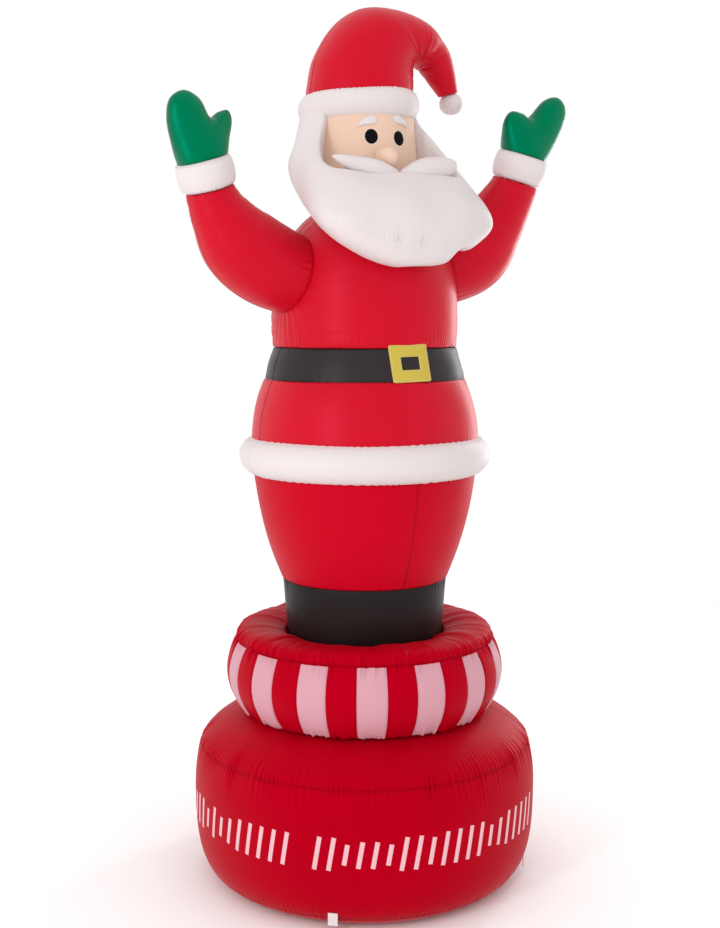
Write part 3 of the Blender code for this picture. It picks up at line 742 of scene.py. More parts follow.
armSetup = {
    "rows": 0.0048,
    "columns": 200,
    "endLength": 0.020,
    "endFlare": 1.04,
    "cuffLength": 0.078,
    "cuffBulge": 0.008,
    "cuffProud": 0.003,
    "cuffFlare": 0.004,
    "gap": 0.0003,
    "firstRows": (0.0, 0.0015, 0.003),
    "lump": 0.0015,
    "lumpTurns": 14,
}
arms = {
    "right": {
        "hand": -1,
        "leanOut": math.radians(17.7),
        "leanForward": math.radians(8.0),
        "path": (
            (0.120, 0.010, 0.103, 0.100),
            (0.237, 0.020, 0.117, 0.110),
            (0.321, 0.025, 0.148, 0.114),
            (0.393, 0.035, 0.197, 0.106),
            (0.448, 0.050, 0.263, 0.080),
            (0.480, 0.062, 0.327, 0.0635),
        ),
        "mitten": (
            ((-0.062, -0.070), (-0.064, -0.020), (-0.069, 0.047), (-0.065, 0.115))
            + ((-0.044, 0.163), (-0.002, 0.175), (0.033, 0.144), (0.0455, 0.095))
            + ((0.074, 0.101), (0.101, 0.099), (0.103, 0.070), (0.080, 0.025))
            + ((0.063, -0.020), (0.060, -0.070))
        ),
        "seed": 81,
    },
    "left": {
        "hand": 1,
        "leanOut": math.radians(12.3),
        "leanForward": math.radians(13.8),
        "path": (
            (0.120, 0.010, 0.112, 0.100),
            (0.250, 0.020, 0.147, 0.112),
            (0.335, 0.027, 0.187, 0.113),
            (0.388, 0.042, 0.258, 0.094),
            (0.432, 0.060, 0.335, 0.075),
            (0.454, 0.070, 0.388, 0.0650),
        ),
        "mitten": (
            ((-0.056, -0.070), (-0.058, -0.020), (-0.079, 0.050), (-0.089, 0.122))
            + ((-0.078, 0.163), (-0.045, 0.180), (-0.008, 0.158), (0.019, 0.103))
            + ((0.048, 0.107), (0.082, 0.103), (0.094, 0.075), (0.085, 0.035))
            + ((0.066, -0.020), (0.062, -0.070))
        ),
        "seed": 91,
    },
}


def armPlace(arm, beyond=0.0):
    # The frame at a sleeve's end: Z runs out along the arm and X across the palm
    forwards = math.tan(arm["leanForward"])
    along = Vector((arm["hand"] * math.tan(arm["leanOut"]), -forwards, 1.0)).normalized()
    behind = Vector((0, 1, 0))
    behind = (behind - along * behind.dot(along)).normalized()
    across = behind.cross(along)
    out, forward, height, _ = arm["path"][-1]
    wrist = Vector((arm["hand"] * out, -forward, bodySetup["shoulderLevel"] + height))
    turn = Matrix((across, behind, along)).transposed().to_4x4()
    return Matrix.Translation(wrist + along * beyond) @ turn


def sleeveLine(arm):
    # Centres and radii from the wrist to inside the chest
    level = bodySetup["shoulderLevel"]
    path = [(arm["hand"] * x, -y, level + z, r) for x, y, z, r in arm["path"]]
    end = armPlace(arm)
    wrist = np.array([*end.translation, path[-1][3]])
    below = end @ Vector((0, 0, -armSetup["endLength"]))
    below = np.array([*below, path[-1][3] * armSetup["endFlare"]])
    line = smoothPath([*path[:-1], below], 24)
    line = np.vstack([line, below + (wrist - below) * np.linspace(0.1, 1, 10)[:, None]])[::-1]
    along = lengthsOf(line[:, :3])
    stops = np.linspace(0, along[-1], int(along[-1] / armSetup["rows"]))
    stops = np.concatenate([armSetup["firstRows"], stops[1:]])
    return np.column_stack([np.interp(stops, along, line[:, i]) for i in range(4)]), stops


def sleeveGrid(arm, chest):
    line, stops = sleeveLine(arm)
    spine, radius = line[:, :3], line[:, 3]
    ahead = np.gradient(spine, stops, axis=0)
    ahead /= -np.linalg.norm(ahead, axis=1)[:, None]
    behind = np.array([0, 1, 0]) - ahead * ahead[:, 1:2]
    behind /= np.linalg.norm(behind, axis=1)[:, None]
    across = np.cross(behind, ahead)
    turns = turnsOf(armSetup["columns"])
    out = across[:, None] * np.cos(turns)[:, None] + behind[:, None] * np.sin(turns)[:, None]
    points = spine[:, None] + out * radius[:, None, None]
    wrist = sewn(arm["seed"], pleats=44, depth=0.0030, reach=0.035)
    marks = [(stops[:, None], turns, wrist)]
    along = stops[:, None] / stops[-1] * math.tau
    for angle, seed in ((0.0, 1), (math.pi, 2)):
        seam = sewn(arm["seed"] + seed, pleats=46, depth=0.0012, reach=0.016)
        marks.append((np.abs(gapRound(turns, angle))[None, :] * radius[:, None], along, seam))
    armhole = {"pleats": 34, "depth": 0.0034, "reach": 0.060, "crease": 0.003, "width": 0.004}
    gap = np.array([chest.find_nearest(Vector(spot))[3] for spot in points.reshape(-1, 3)])
    marks.append((gap.reshape(points.shape[:2]), turns, sewn(arm["seed"] + 3, **armhole)))
    push, near = sewAll(marks, points.shape[:2])
    rise = np.sin(stops * armSetup["lumpTurns"])[:, None]
    push += armSetup["lump"] * drift(turns, 1, 4, arm["seed"] + 5) * rise
    points = points + out * push[..., None]
    return {"points": points, "near": near, "stops": stops, "around": math.tau * radius.max()}


def treeOf(piece):
    shape = bmesh.new()
    shape.from_mesh(piece.data)
    tree = BVHTree.FromBMesh(shape)
    shape.free()
    return tree


def makeSleeve(side, arm, chest):
    mesh = gridMesh(side + "Sleeve", sleeveGrid(arm, treeOf(chest)))
    cutPiece(side + "SleeveSkin", mesh, [chest], "redCloth", [side + "_sleeve"])


def makeCuff(side, arm):
    radius = arm["path"][-1][3] + armSetup["cuffProud"]
    rim = (radius + armSetup["cuffFlare"], armSetup["cuffLength"])
    profile = [bowed(rim, (radius, 0.0), armSetup["cuffBulge"])]
    edge = {"pleats": 40, "depth": 0.0022, "reach": 0.022, "crease": 0.004, "width": 0.005}
    seams = [sewn(arm["seed"] + seed, **edge) for seed in (5, 6)]
    upright = [sewn(arm["seed"] + 7, pleats=16, reach=0.012, angle=math.pi)]
    setup = {"columns": 240, "seed": arm["seed"], "rows": (0.0028, 0.005), "upright": upright}
    grid = turnedGrid(profile, seams, setup, armPlace(arm, armSetup["gap"]))
    return sewPanel(side + "CuffSkin", grid, "whiteCloth", [side + "_cuff"])


def mittenShape(arm, setup):
    # Two flat panels sewn round an outline and blown up: half thickness is the root of a
    # membrane's height, so the thumb and the palm puff apart at the notch between them.
    hand = -arm["hand"]
    outline = smoothPath([(hand * x, y) for x, y in arm["mitten"]], 10)
    cell = setup["cell"]
    low = outline.min(0) - 2 * cell
    size = np.ceil((outline.max(0) - low) / cell).astype(int) + 3
    spots = np.stack(np.meshgrid(*[np.arange(n) * cell for n in size], indexing="ij"), -1) + low
    start, stop = outline, np.roll(outline, -1, 0)
    inside = np.zeros(spots.shape[:2], bool)
    for (ax, ay), (bx, by) in zip(start, stop):
        crosses = (ay > spots[..., 1]) != (by > spots[..., 1])
        at = ax + (spots[..., 1] - ay) / (by - ay + 1e-12) * (bx - ax)
        inside ^= crosses & (spots[..., 0] < at)
    height = np.zeros(inside.shape)
    for _ in range(setup["passes"]):
        total = height[:-2, 1:-1] + height[2:, 1:-1] + height[1:-1, :-2] + height[1:-1, 2:]
        height[1:-1, 1:-1] = np.where(inside[1:-1, 1:-1], (total + 2 * cell * cell) / 4, 0)
    edge = edgeGap(spots.reshape(-1, 2), outline).reshape(inside.shape)
    firm = inside & (edge > 1.5 * cell)
    share = np.where(firm, height / np.maximum(edge, cell), 0.0)
    steps = ((-1, 0), (-1, 1), (1, 0), (1, 1))
    for _ in range(setup["spread"]):
        total = sum(np.roll(share, *step) for step in steps)
        count = sum(np.roll(firm.astype(float), *step) for step in steps)
        share = np.where(firm, share, total / np.maximum(count, 1))
        firm = firm | (count > 0)
    return outline, low, share


def edgeGap(spots, outline):
    start, stop = outline[None], np.roll(outline, -1, 0)[None]
    chord = stop - start
    gap = np.full(len(spots), 9.0)
    for first in range(0, len(spots), 4000):
        part = spots[first : first + 4000, None]
        share = ((part - start) * chord).sum(-1) / np.maximum((chord**2).sum(-1), 1e-12)
        foot = start + chord * share.clip(0, 1)[..., None]
        gap[first : first + 4000] = np.sqrt(((part - foot) ** 2).sum(-1)).min(1)
    return gap


mittenSetup = {
    "cell": 0.003,
    "passes": 1500,
    "spread": 40,
    "thickness": 0.096,
    "middle": 0.045,
    "fullWrist": 0.28,
    "wristReach": 0.045,
    "rings": 34,
    "seam": 0.0012,
    "seamFade": 0.006,
    "clothSize": (0.5, 0.24),
}


def makeMitten(side, arm, setup):
    outline, low, share = mittenShape(arm, setup)
    middle = np.array([0.0, setup["middle"]])
    steps = np.sin(np.linspace(1, 0, setup["rings"]) * math.pi / 2)[:-1, None, None]
    rings = middle + (outline - middle) * steps
    flat = rings.reshape(-1, 2)
    cell = (flat - low) / setup["cell"]
    base = np.floor(cell).astype(int)
    part = cell - base
    value = 0
    for i, j in ((0, 0), (0, 1), (1, 0), (1, 1)):
        weight = np.abs(1 - i - part[:, 0]) * np.abs(1 - j - part[:, 1])
        value = value + share[base[:, 0] + i, base[:, 1] + j] * weight
    edge = edgeGap(flat, outline)
    edge[: len(outline)] = 0.0
    half = np.sqrt(np.maximum(value * edge, 0))
    half *= setup["thickness"] / 2 / half.max()
    half *= 1 + setup["fullWrist"] * np.exp(-((flat[:, 1] / setup["wristReach"]) ** 2))
    along = np.tile(turnsOf(len(outline)), len(rings))
    seam = sewn(arm["seed"] + 20, pleats=46, depth=0.0030, reach=0.022, crease=0.0)
    relief, near = seamRelief(edge, along, seam)
    half = half + relief * np.minimum(edge / setup["seamFade"], 1) + setup["seam"] / 2
    half, near = half.reshape(rings.shape[:2]), near.reshape(rings.shape[:2])
    front, back = [np.stack([rings[..., 0], y, rings[..., 1]], -1) for y in (-half, half)]
    points = np.vstack([front[::-1], back])[:: arm["hand"]]
    around, down = setup["clothSize"]
    wrist = armPlace(arm, armSetup["cuffLength"] + 2 * armSetup["gap"])
    grid = {"points": moved(points, wrist), "near": np.vstack([near[::-1], near])}
    grid.update(stops=np.linspace(0, down, len(points)), around=around)
    mesh = gridMesh(side + "Mitten", grid)

    def openWrist(shape):
        # Cuts the glove off flat at the cuff and closes it there
        parts = shape.verts[:] + shape.edges[:] + shape.faces[:]
        plane = {"plane_co": wrist.translation, "plane_no": -wrist.col[2].to_3d()}
        cut = bmesh.ops.bisect_plane(shape, geom=parts, clear_outer=True, **plane)
        rim = [item for item in cut["geom_cut"] if isinstance(item, bmesh.types.BMEdge)]
        bmesh.ops.contextual_create(shape, geom=rim)

    faceOutwards(mesh, openWrist)
    mesh.set_sharp_from_angle(angle=sharpAngle)
    addPiece(side + "MittenSkin", mesh, "greenCloth", [side + "_mitten"])


cuffSkins = {}
for side, arm in arms.items():
    makeSleeve(side, arm, body["coatTopSkin"])
    cuffSkins[side] = makeCuff(side, arm)
    makeMitten(side, arm, mittenSetup)


# Head, beard and hat

headSetup = {
    "back": 0.037,
    "foot": 0.140,
    "cheek": 0.166,
    "cheekHeight": 0.130,
    "crown": 0.148,
    "jawBulge": 0.008,
    "columns": 320,
    "seed": 101,
}
beardSetup = {
    "fullness": 2.2,
    "columns": 180,
    "voxel": 0.0042,
    "smoothing": 30,
    "lump": 0.0022,
    "weaveMiddle": (0, -0.05),
    "weaveRadius": 0.25,
    # Height over the head's foot, half width, middle, front, back, and fullness at the back
    "sections": (
        (-0.162, 0.050, -0.290, -0.318, -0.235, 2.0),
        (-0.151, 0.098, -0.280, -0.332, -0.215, 2.0),
        (-0.133, 0.146, -0.268, -0.342, -0.190, 2.0),
        (-0.093, 0.212, -0.258, -0.350, -0.140, 1.9),
        (-0.046, 0.257, -0.245, -0.346, -0.040, 1.7),
        (0.005, 0.256, -0.218, -0.322, 0.180, 1.5),
        (0.047, 0.247, -0.173, -0.285, 0.225, 1.6),
        (0.092, 0.237, -0.124, -0.225, 0.240, 1.8),
        (0.135, 0.224, -0.080, -0.165, 0.240, 2.0),
        (0.191, 0.194, -0.028, -0.130, 0.230, 2.0),
        (0.242, 0.166, 0.020, -0.110, 0.215, 2.0),
        (0.274, 0.160, 0.037, -0.100, 0.200, 2.0),
    ),
    "seam": {
        "level": 1.790,
        "rise": 1.0,
        "halfSpan": 0.27,
        "back": -0.14,
        "backFade": 0.06,
        "gatherLeast": 0.35,
        "gatherAt": -0.060,
        "gatherReach": 0.085,
        "shade": 0.1,
        "nick": (0.140, 1.737),
        "nickDepth": 0.050,
        "nickReach": 0.028,
        "cloth": sewn(143, pleats=54, depth=0.0034, reach=0.040, crease=0.0008, width=0.0080),
    },
    "openingForward": 0.220,
    "openingHalfWidth": 0.210,
    "openingHalfDepth": 0.240,
    "openingFoot": 0.087,
    "openingRounding": 0.040,
}
hatSetup = {
    # Outer side, notch side, and half depth of each rib, from the band to the pompom
    "ribs": (
        (-0.152, 0.0000, 0.1520, 0.000, 0.152),
        (-0.1480, 0.043, 0.1515, 0.030, 0.151),
        (-0.1365, 0.097, 0.1515, 0.055, 0.148),
        (-0.1115, 0.145, 0.1520, 0.072, 0.143),
        (-0.0790, 0.188, 0.1530, 0.082, 0.137),
        (-0.0410, 0.2216, 0.1540, 0.088, 0.130),
        (0.0040, 0.2454, 0.1550, 0.092, 0.124),
        (0.0580, 0.2545, 0.1580, 0.095, 0.118),
        (0.1120, 0.2530, 0.1640, 0.098, 0.113),
        (0.1620, 0.2400, 0.1720, 0.101, 0.103),
        (0.2060, 0.2180, 0.1800, 0.104, 0.090),
        (0.2450, 0.1900, 0.1880, 0.105, 0.073),
        (0.2810, 0.1547, 0.2010, 0.0985, 0.056),
        (0.3000, 0.1084, 0.2200, 0.0759, 0.044),
        (0.3115, 0.0642, 0.2430, 0.0498, 0.034),
        (0.3160, 0.0447, 0.2620, 0.0288, 0.028),
    ),
    "steps": 11,
    "columns": 220,
    "notch": (0.165, 0.100),
    "folds": 18,
    "foldDepth": 0.0045,
    "foldReach": 0.075,
    "foldStart": 0.025,
    "lump": 0.002,
    "lumpStart": 0.1,
    "footSeam": sewn(151, pleats=60, depth=0.0022, reach=0.030),
    "ridgeSeam": sewn(154, pleats=30, depth=0.0012, reach=0.014),
    "pompomRadius": 0.034,
    "pompomSquash": 0.92,
}


def makeHead(setup):
    low, high, _ = levelsOf("head")
    cheek = (setup["cheek"], low + setup["cheekHeight"])
    upper = bowed((setup["crown"], high), cheek, 0.001)
    lower = bowed(cheek, (setup["foot"], low), setup["jawBulge"])
    line = np.vstack([upper, lower[1:]])
    grid = turnedGrid([line], (None, None), setup, Matrix.Translation((0, setup["back"], 0)))
    return sewPanel("headSkin", grid, "skinCloth", ["head"])


headSkin = makeHead(headSetup)


def powerWave(value, power):
    return np.sign(value) * np.abs(value) ** (2 / power)


def beardRelief(spots, setup):
    # A seam under the front, with the cloth gathered along it and a nick near its end
    x, y, z = spots.T
    seam = setup["seam"]
    gap = np.abs(z - seam["level"] - seam["rise"] * x**2)
    along = x / seam["halfSpan"] * math.pi
    relief, near = seamRelief(gap, along, seam["cloth"])
    front = ((seam["back"] - y) / seam["backFade"]).clip(0, 1)
    gathers = np.exp(-(((x - seam["gatherAt"]) / seam["gatherReach"]) ** 2)) + seam["gatherLeast"]
    push = relief * front * gathers
    nick = np.hypot(x - seam["nick"][0], z - seam["nick"][1])
    push -= seam["nickDepth"] * front * np.exp(-((nick / seam["nickReach"]) ** 2))
    lumps = drift(x * 9 + z * 4, 1, 4, 141) * drift(z * 11 - x * 3, 1, 3, 142)
    # The seam's nearness, times its shade, darkens the colour there: painted shade in the seam's
    # crease
    return push + setup["lump"] * lumps, seam["shade"] * near * front


def makeBeard(setup, head, chest):
    base = levelsOf("head")[0]
    rows = smoothPath(setup["sections"], 8)[::-1]
    turns = turnsOf(setup["columns"])
    behind = np.sin(turns) > 0
    power = np.where(behind, rows[:, 5:6], setup["fullness"])
    depth = np.where(behind, rows[:, 4:5] - rows[:, 2:3], rows[:, 2:3] - rows[:, 3:4])
    across = rows[:, 1:2] * powerWave(np.cos(turns), power)
    backwards = rows[:, 2:3] + depth * powerWave(np.sin(turns), power)
    points = np.stack(np.broadcast_arrays(across, backwards, base + rows[:, 0:1]), -1)
    grid = {"points": points, "near": 0 * across, "stops": -rows[:, 0], "around": 1.0}
    loft = gridMesh("beardLoft", grid)
    top = levelsOf("hat")[0]
    foot = base + setup["openingFoot"]
    wall = setup["openingHalfDepth"]
    rounding = setup["openingRounding"]
    corner = roundCorner(wall - rounding, wall, foot + rounding, foot, 2.0, 1.0, 12)
    line = np.vstack([[(wall, top + 0.1)], corner[::-1]])
    scale = Matrix.Diagonal((setup["openingHalfWidth"] / wall, 1, 1, 1))
    place = Matrix.Translation((0, -setup["openingForward"], 0)) @ scale
    bowl = {"columns": 128, "seed": 1, "lump": 0.0}
    mesh = gridMesh("opening", turnedGrid([line], (None, None), bowl, place))
    opening = addObject("openingCutter", mesh)
    steps = cutBy(opening)
    steps.append(("REMESH", {"mode": "VOXEL", "voxel_size": setup["voxel"]}))
    steps.append(("SMOOTH", {"factor": 0.5, "iterations": setup["smoothing"]}))
    mesh = shaped(loft, *steps)
    bpy.data.objects.remove(opening)
    mesh.shade_smooth()
    pushOut(mesh, *beardRelief(spotsOf(mesh), setup))
    wrapWeave(mesh, setup["weaveMiddle"], setup["weaveRadius"])
    mesh = shaped(mesh, *cutBy(head, chest))
    addPiece("beardSkin", mesh, "whiteCloth", ["beard"])


def makeHat(setup, pompom):
    # Ribs fan out from the notch: each runs from the notch's side to the outer side
    low = levelsOf("hat")[0]
    ribs = smoothPath(setup["ribs"], setup["steps"])[::-1]
    outer, inner = ribs[:, :2], ribs[:, 2:4]
    middle, half = (outer + inner) / 2, (inner - outer) / 2
    turns = turnsOf(setup["columns"])
    flat = middle[:, None] + half[:, None] * np.sin(turns)[:, None]
    behind = headSetup["back"] - ribs[:, 4:5] * np.cos(turns)
    points = np.stack([flat[..., 0], behind, low + flat[..., 1]], -1)
    grid = {"points": points, "near": 0 * behind, "stops": lengthsOf(outer), "around": 0.95}
    mesh = gridMesh("hatBag", grid)
    spots = spotsOf(mesh)
    x, y, z = spots.T
    around = np.arctan2(x, headSetup["back"] - y)
    marks = [(np.abs(z - low), around, setup["footSeam"])]
    ridge = np.append(np.tile(np.abs(gapRound(turns, -math.pi / 2)), len(ribs)), [9.0, 9.0])
    width = np.append(np.repeat(ribs[:, 4], len(turns)), [0.1, 0.1])
    marks.append((ridge * width, z * 12, setup["ridgeSeam"]))
    push, near = sewAll(marks, len(spots))
    notch = spots - np.array([setup["notch"][0], headSetup["back"], low + setup["notch"][1]])
    away = np.hypot(notch[:, 0], notch[:, 2])
    fan = np.arctan2(notch[:, 2], notch[:, 0])
    fade = np.exp(-((away / setup["foldReach"]) ** 2)) * (away / setup["foldStart"]).clip(0, 1)
    push += pleats(fan, setup["folds"], 152) * setup["foldDepth"] * fade
    push += setup["lump"] * drift(fan, 1, 5, 153) * (away / setup["lumpStart"]).clip(0, 1)
    pushOut(mesh, push, near)
    cutPiece("hatSkin", mesh, [pompom], "redCloth", ["hat"])


makeBeard(beardSetup, headSkin, body["coatTopSkin"])


# Geometry Nodes: a tree with named inputs, and the plain mesh that it grows


def startTree(name, sockets):
    tree = bpy.data.node_groups.new(name, "GeometryNodeTree")
    for title, kind in {"Geometry": "Geometry", **sockets}.items():
        tree.interface.new_socket(title, in_out="INPUT", socket_type="NodeSocket" + kind)
    tree.interface.new_socket("Geometry", in_out="OUTPUT", socket_type="NodeSocketGeometry")
    given = tree.nodes.new("NodeGroupInput").outputs
    return tree, {socket.name: Wire(socket) for socket in given}


def endTree(tree, geometry, *materials):
    # Materials are (material, selection) pairs
    done = take(tree, "GeometryNodeSetShadeSmooth", {0: geometry})
    done = take(tree, "GeometryNodeRealizeInstances", {0: done})
    for material, chosen in materials:
        worn = {0: done, "Selection": chosen, "Material": material}
        done = take(tree, "GeometryNodeSetMaterial", worn)
    feed(tree.nodes.new("NodeGroupOutput"), {0: done})
    return tree


def keep(tree, geometry, name, value, kind="FLOAT", domain="POINT"):
    stored = {"Geometry": geometry, "Name": name, "Value": value}
    return take(tree, "GeometryNodeStoreNamedAttribute", stored, data_type=kind, domain=domain)


def recall(tree, name, kind="FLOAT"):
    return take(tree, "GeometryNodeInputNamedAttribute", {"Name": name}, data_type=kind)


def fall(gap, reach):
    # 1 at a seam, and down to nothing with the square of the gap over the reach
    share = gap / reach
    return (share * share * -1.0).calc("EXPONENT")


def linesMesh(name, lines):
    edges, start = [], 0
    for line in lines:
        edges += [(start + i, start + i + 1) for i in range(len(line) - 1)]
        start += len(line)
    mesh = bpy.data.meshes.new(name)
    mesh.from_pydata(np.vstack(lines).tolist(), edges, [])
    return mesh


def grown(name, source, tree, values):
    thing = addObject(name, source)
    modifier = thing.modifiers.new("grow", "NODES")
    modifier.node_group = tree
    for item in tree.interface.items_tree:
        if item.in_out == "INPUT" and item.name in values:
            modifier[item.identifier] = values[item.name]
    return baked(thing)


# Striped ring: a turned profile with 30 upright panels between two seams

ringSetup = {
    "footRadius": 0.352,
    "seamRadius": 0.3690,
    "seamHeight": 0.2027,
    "bulge": 0.0355,
    "crestRadius": 0.300,
    "topBulge": 0.004,
    "topPower": 2.7,
    "rimDrop": 0.0210,
    "rimRadius": 0.2227,
    "floorRadius": 0.2202,
    "floorLevel": 0.6653,
    "panels": 30,
    "columnsPerPanel": 26,
    "whiteCentre": math.radians(-23.8),
    "panelFade": 60.0,
    "foldMean": 0.08,
    "foldStrength": 6.0,
    "foldShift": 3.7,
    "lobeMean": 0.12,
    "lobeFade": 14.0,
}
ringValues = {
    "Panels": ringSetup["panels"],
    "Columns": ringSetup["panels"] * ringSetup["columnsPerPanel"],
    "Panel Bulge": 0.0014,
    "Upright Crease": 0.0016,
    "Pleat Depth": 0.0065,
    "Pleat Reach": 0.030,
    "Pleat Scale": 30.0,
    "Seam Crease": 0.0028,
    "Seam Width": 0.0030,
    "Lobe Height": 0.050,
    "Lobe Scale": 2.2,
    "Radius": ringSetup["seamRadius"],
}


def ringTree():
    kinds = {"Panels": "Int", "Columns": "Int", "Red": "Material", "White": "Material"}
    for title in ("First Angle", "Top Seam", "Foot Seam", *ringValues):
        kinds.setdefault(title, "Float")
    tree, given = startTree("stripedRing", kinds)
    profile = given["Geometry"]
    rows = take(tree, "GeometryNodeAttributeDomainSize", {0: profile}, "Point Count")
    across = given["Columns"] + 1.0
    sizes = {"Size X": 1.0, "Size Y": 1.0, "Vertices X": rows, "Vertices Y": across}
    grid = take(tree, "GeometryNodeMeshGrid", sizes)

    index = take(tree, "GeometryNodeInputIndex")
    row = ((index + 0.5) / across).calc("FLOOR")
    turn = (index - row * across) / given["Columns"]
    angle = turn * math.tau + given["First Angle"]
    spot = {"Geometry": profile, "Index": row, "Value": take(tree, "GeometryNodeInputPosition")}
    spot = take(tree, "GeometryNodeSampleIndex", spot, data_type="FLOAT_VECTOR")
    down = {"Geometry": profile, "Index": row, "Value": recall(tree, "down")}
    down = take(tree, "GeometryNodeSampleIndex", down, data_type="FLOAT")
    radius, sine, cosine = parted(tree, spot, 0), angle.calc("SINE"), angle.calc("COSINE")
    turned = joined(tree, radius * sine, radius * cosine * -1.0, parted(tree, spot, 2))

    # Panels: each stands out a little between its upright seams
    phase = turn * given["Panels"]
    share = (phase + 0.0001).calc("FRACT")
    other = share * -1.0 + 1.0
    width = given["Radius"] * math.tau / given["Panels"]
    fromTop = down - given["Top Seam"]
    fromFoot = given["Foot Seam"] - down
    within = fromTop.calc("MINIMUM", fromFoot)
    inSide = within.calc("GREATER_THAN", -0.0005)
    upright = fall(share.calc("MINIMUM", other) * width, given["Seam Width"])
    panel = (share * other * 4.0).calc("SQRT") * given["Panel Bulge"]
    panel = panel - upright * given["Upright Crease"]
    push = panel * (within.calc("MAXIMUM", 0.0) * ringSetup["panelFade"]).calc("MINIMUM", 1.0)
    near = upright * inSide

    # Pleats fade out with the distance from each seam
    circle = joined(tree, sine, cosine)
    for number, gap in enumerate((fromTop, fromFoot)):
        gap = gap.calc("ABSOLUTE")
        ring = circle.vector("ADD", (0.0, 0.0, ringSetup["foldShift"] * number))
        noise = {"Vector": ring, "Scale": given["Pleat Scale"], "Detail": 1.0}
        fold = (take(tree, "ShaderNodeTexNoise", noise) - 0.5).calc("ABSOLUTE")
        fold = (fold - ringSetup["foldMean"]) * ringSetup["foldStrength"]
        crease = fall(gap, given["Seam Width"])
        push = push + fold * given["Pleat Depth"] * fall(gap, given["Pleat Reach"])
        push = push - crease * given["Seam Crease"]
        near = near.calc("MAXIMUM", crease)

    # Slack lobes over the top, round the boots
    lobes = {"Vector": circle, "Scale": given["Lobe Scale"], "Detail": 2.0}
    lobes = (take(tree, "ShaderNodeTexNoise", lobes) - 0.5).calc("ABSOLUTE")
    lobes = lobes - ringSetup["lobeMean"]
    onTop = (fromTop * -ringSetup["lobeFade"]).calc("MAXIMUM", 0.0).calc("MINIMUM", 1.0)
    push = push + lobes * given["Lobe Height"] * onTop

    cloth = take(tree, "GeometryNodeSetPosition", {0: grid, "Position": turned})
    flat = joined(tree, angle * given["Radius"], down * -1.0)
    cloth = keep(tree, cloth, "flat", flat, "FLOAT_VECTOR")
    # seamNear darkens the colour at the seams: painted shade in their creases
    fields = {"seamNear": near, "push": push, "phase": phase, "inSide": inSide}
    for title, value in fields.items():
        cloth = keep(tree, cloth, title, value)
    flat = recall(tree, "flat", "FLOAT_VECTOR")
    cloth = keep(tree, cloth, "weave", flat, "FLOAT2", "CORNER")
    odd = recall(tree, "phase").calc("FLOOR").calc("FLOORED_MODULO", 2.0)
    white = odd.calc("LESS_THAN", 0.5) * recall(tree, "inSide")
    cloth = keep(tree, cloth, "white", white, domain="FACE")
    cloth = take(tree, "GeometryNodeMergeByDistance", {0: cloth, "Distance": 0.00002})
    offset = take(tree, "GeometryNodeInputNormal").vector("SCALE", recall(tree, "push"))
    cloth = take(tree, "GeometryNodeSetPosition", {0: cloth, "Offset": offset})
    chosen = recall(tree, "white").calc("GREATER_THAN", 0.6)
    return endTree(tree, cloth, (given["Red"], True), (given["White"], chosen))


def makeRing(setup):
    low, crest, _ = levelsOf("striped_ring")
    seam = (setup["seamRadius"], low + setup["seamHeight"])
    rim = (setup["rimRadius"], crest - setup["rimDrop"])
    floor = (setup["floorRadius"], setup["floorLevel"])
    inner = np.vstack([bowed((0.0, floor[1]), floor, 0.0, 4), bowed(floor, rim, 0.0, 8)[1:]])
    crown = bowed(rim, (setup["crestRadius"], crest), setup["topBulge"])
    top = roundCorner(setup["crestRadius"], *seam, crest, setup["topPower"])[1:]
    side = bowed(seam, (setup["footRadius"], low), setup["bulge"])
    under = bowed((setup["footRadius"], low), (0.0, low), 0.0, 4)[1:]
    parts = [np.vstack([inner, crown[1:], top]), side, under]
    radius, height, stops, joints = spacedRows(parts, 0.0035, 0.0125, 0.035)
    mesh = linesMesh("ringProfile", [np.column_stack([radius, 0 * radius, height])])
    mesh.attributes.new("down", "FLOAT", "POINT").data.foreach_set("value", stops.astype(np.float32))
    # The white stripes take a pink: a painted glow of red light through the white nylon
    values = {**ringValues, "Red": cloths["drumRedPaintedShade"], "White": cloths["whitePaintedRedGlow"]}
    values["Top Seam"], values["Foot Seam"] = joints[1], joints[2]
    values["First Angle"] = setup["whiteCentre"] - math.pi / setup["panels"]
    # The ring's red is the drum's darker copy: painted shade
    ring = grown("stripedRing", mesh, ringTree(), values)
    return addPiece("stripedRingSkin", ring, "drumRedPaintedShade", ["striped_ring"])


ringSkin = makeRing(ringSetup)


# Face and trims: patches blown out a little from the cloth that they are sewn to

trimSetup = {
    "patchLift": 0.0006,
    "patchBack": 0.0003,
    "patchCentre": 0.06,
    "patchSquareness": 4,
    "patchNear": 14,
    "eyeAngle": math.radians(15.2),
    "eyeShift": math.radians(0.9),
    "eyeHeight": 0.190,
    "eyeSize": (0.036, 0.040),
    "eyeRim": 0.0022,
    "rimThickness": 0.0012,
    "eyeThickness": 0.0045,
    "browAngles": {"right": math.radians(-18), "left": math.radians(20)},
    "browHeights": {"right": 0.232, "left": 0.239},
    "browSize": (0.056, 0.024),
    "browArch": 0.007,
    "browTaper": 0.9,
    "browThickness": 0.0065,
    "browSlant": math.radians(17),
    "noseSize": (0.056, 0.088, 0.066),
    "noseSpot": (-0.013, -0.153, 0.128),
    "beltLift": 0.0016,
    "buckleCorner": 24,
    "buckleLift": (0.0012, 0.0032, 0.0002),
    "buckleSize": (0.115, 0.099),
    "windowSize": (0.054, 0.034),
    "buckleRise": 0.005,
    "buckleRoll": math.radians(1.5),
}


def wrapPatch(flat, lift, radiusAt, angle, level, back=0.0):
    # Wraps flat points, in X and up, round a turned surface, and stands them out by lift
    height = level + flat[..., 1]
    radius = radiusAt(height)
    return ringPoints(radius + lift, angle + flat[..., 0] / radius, height, back)


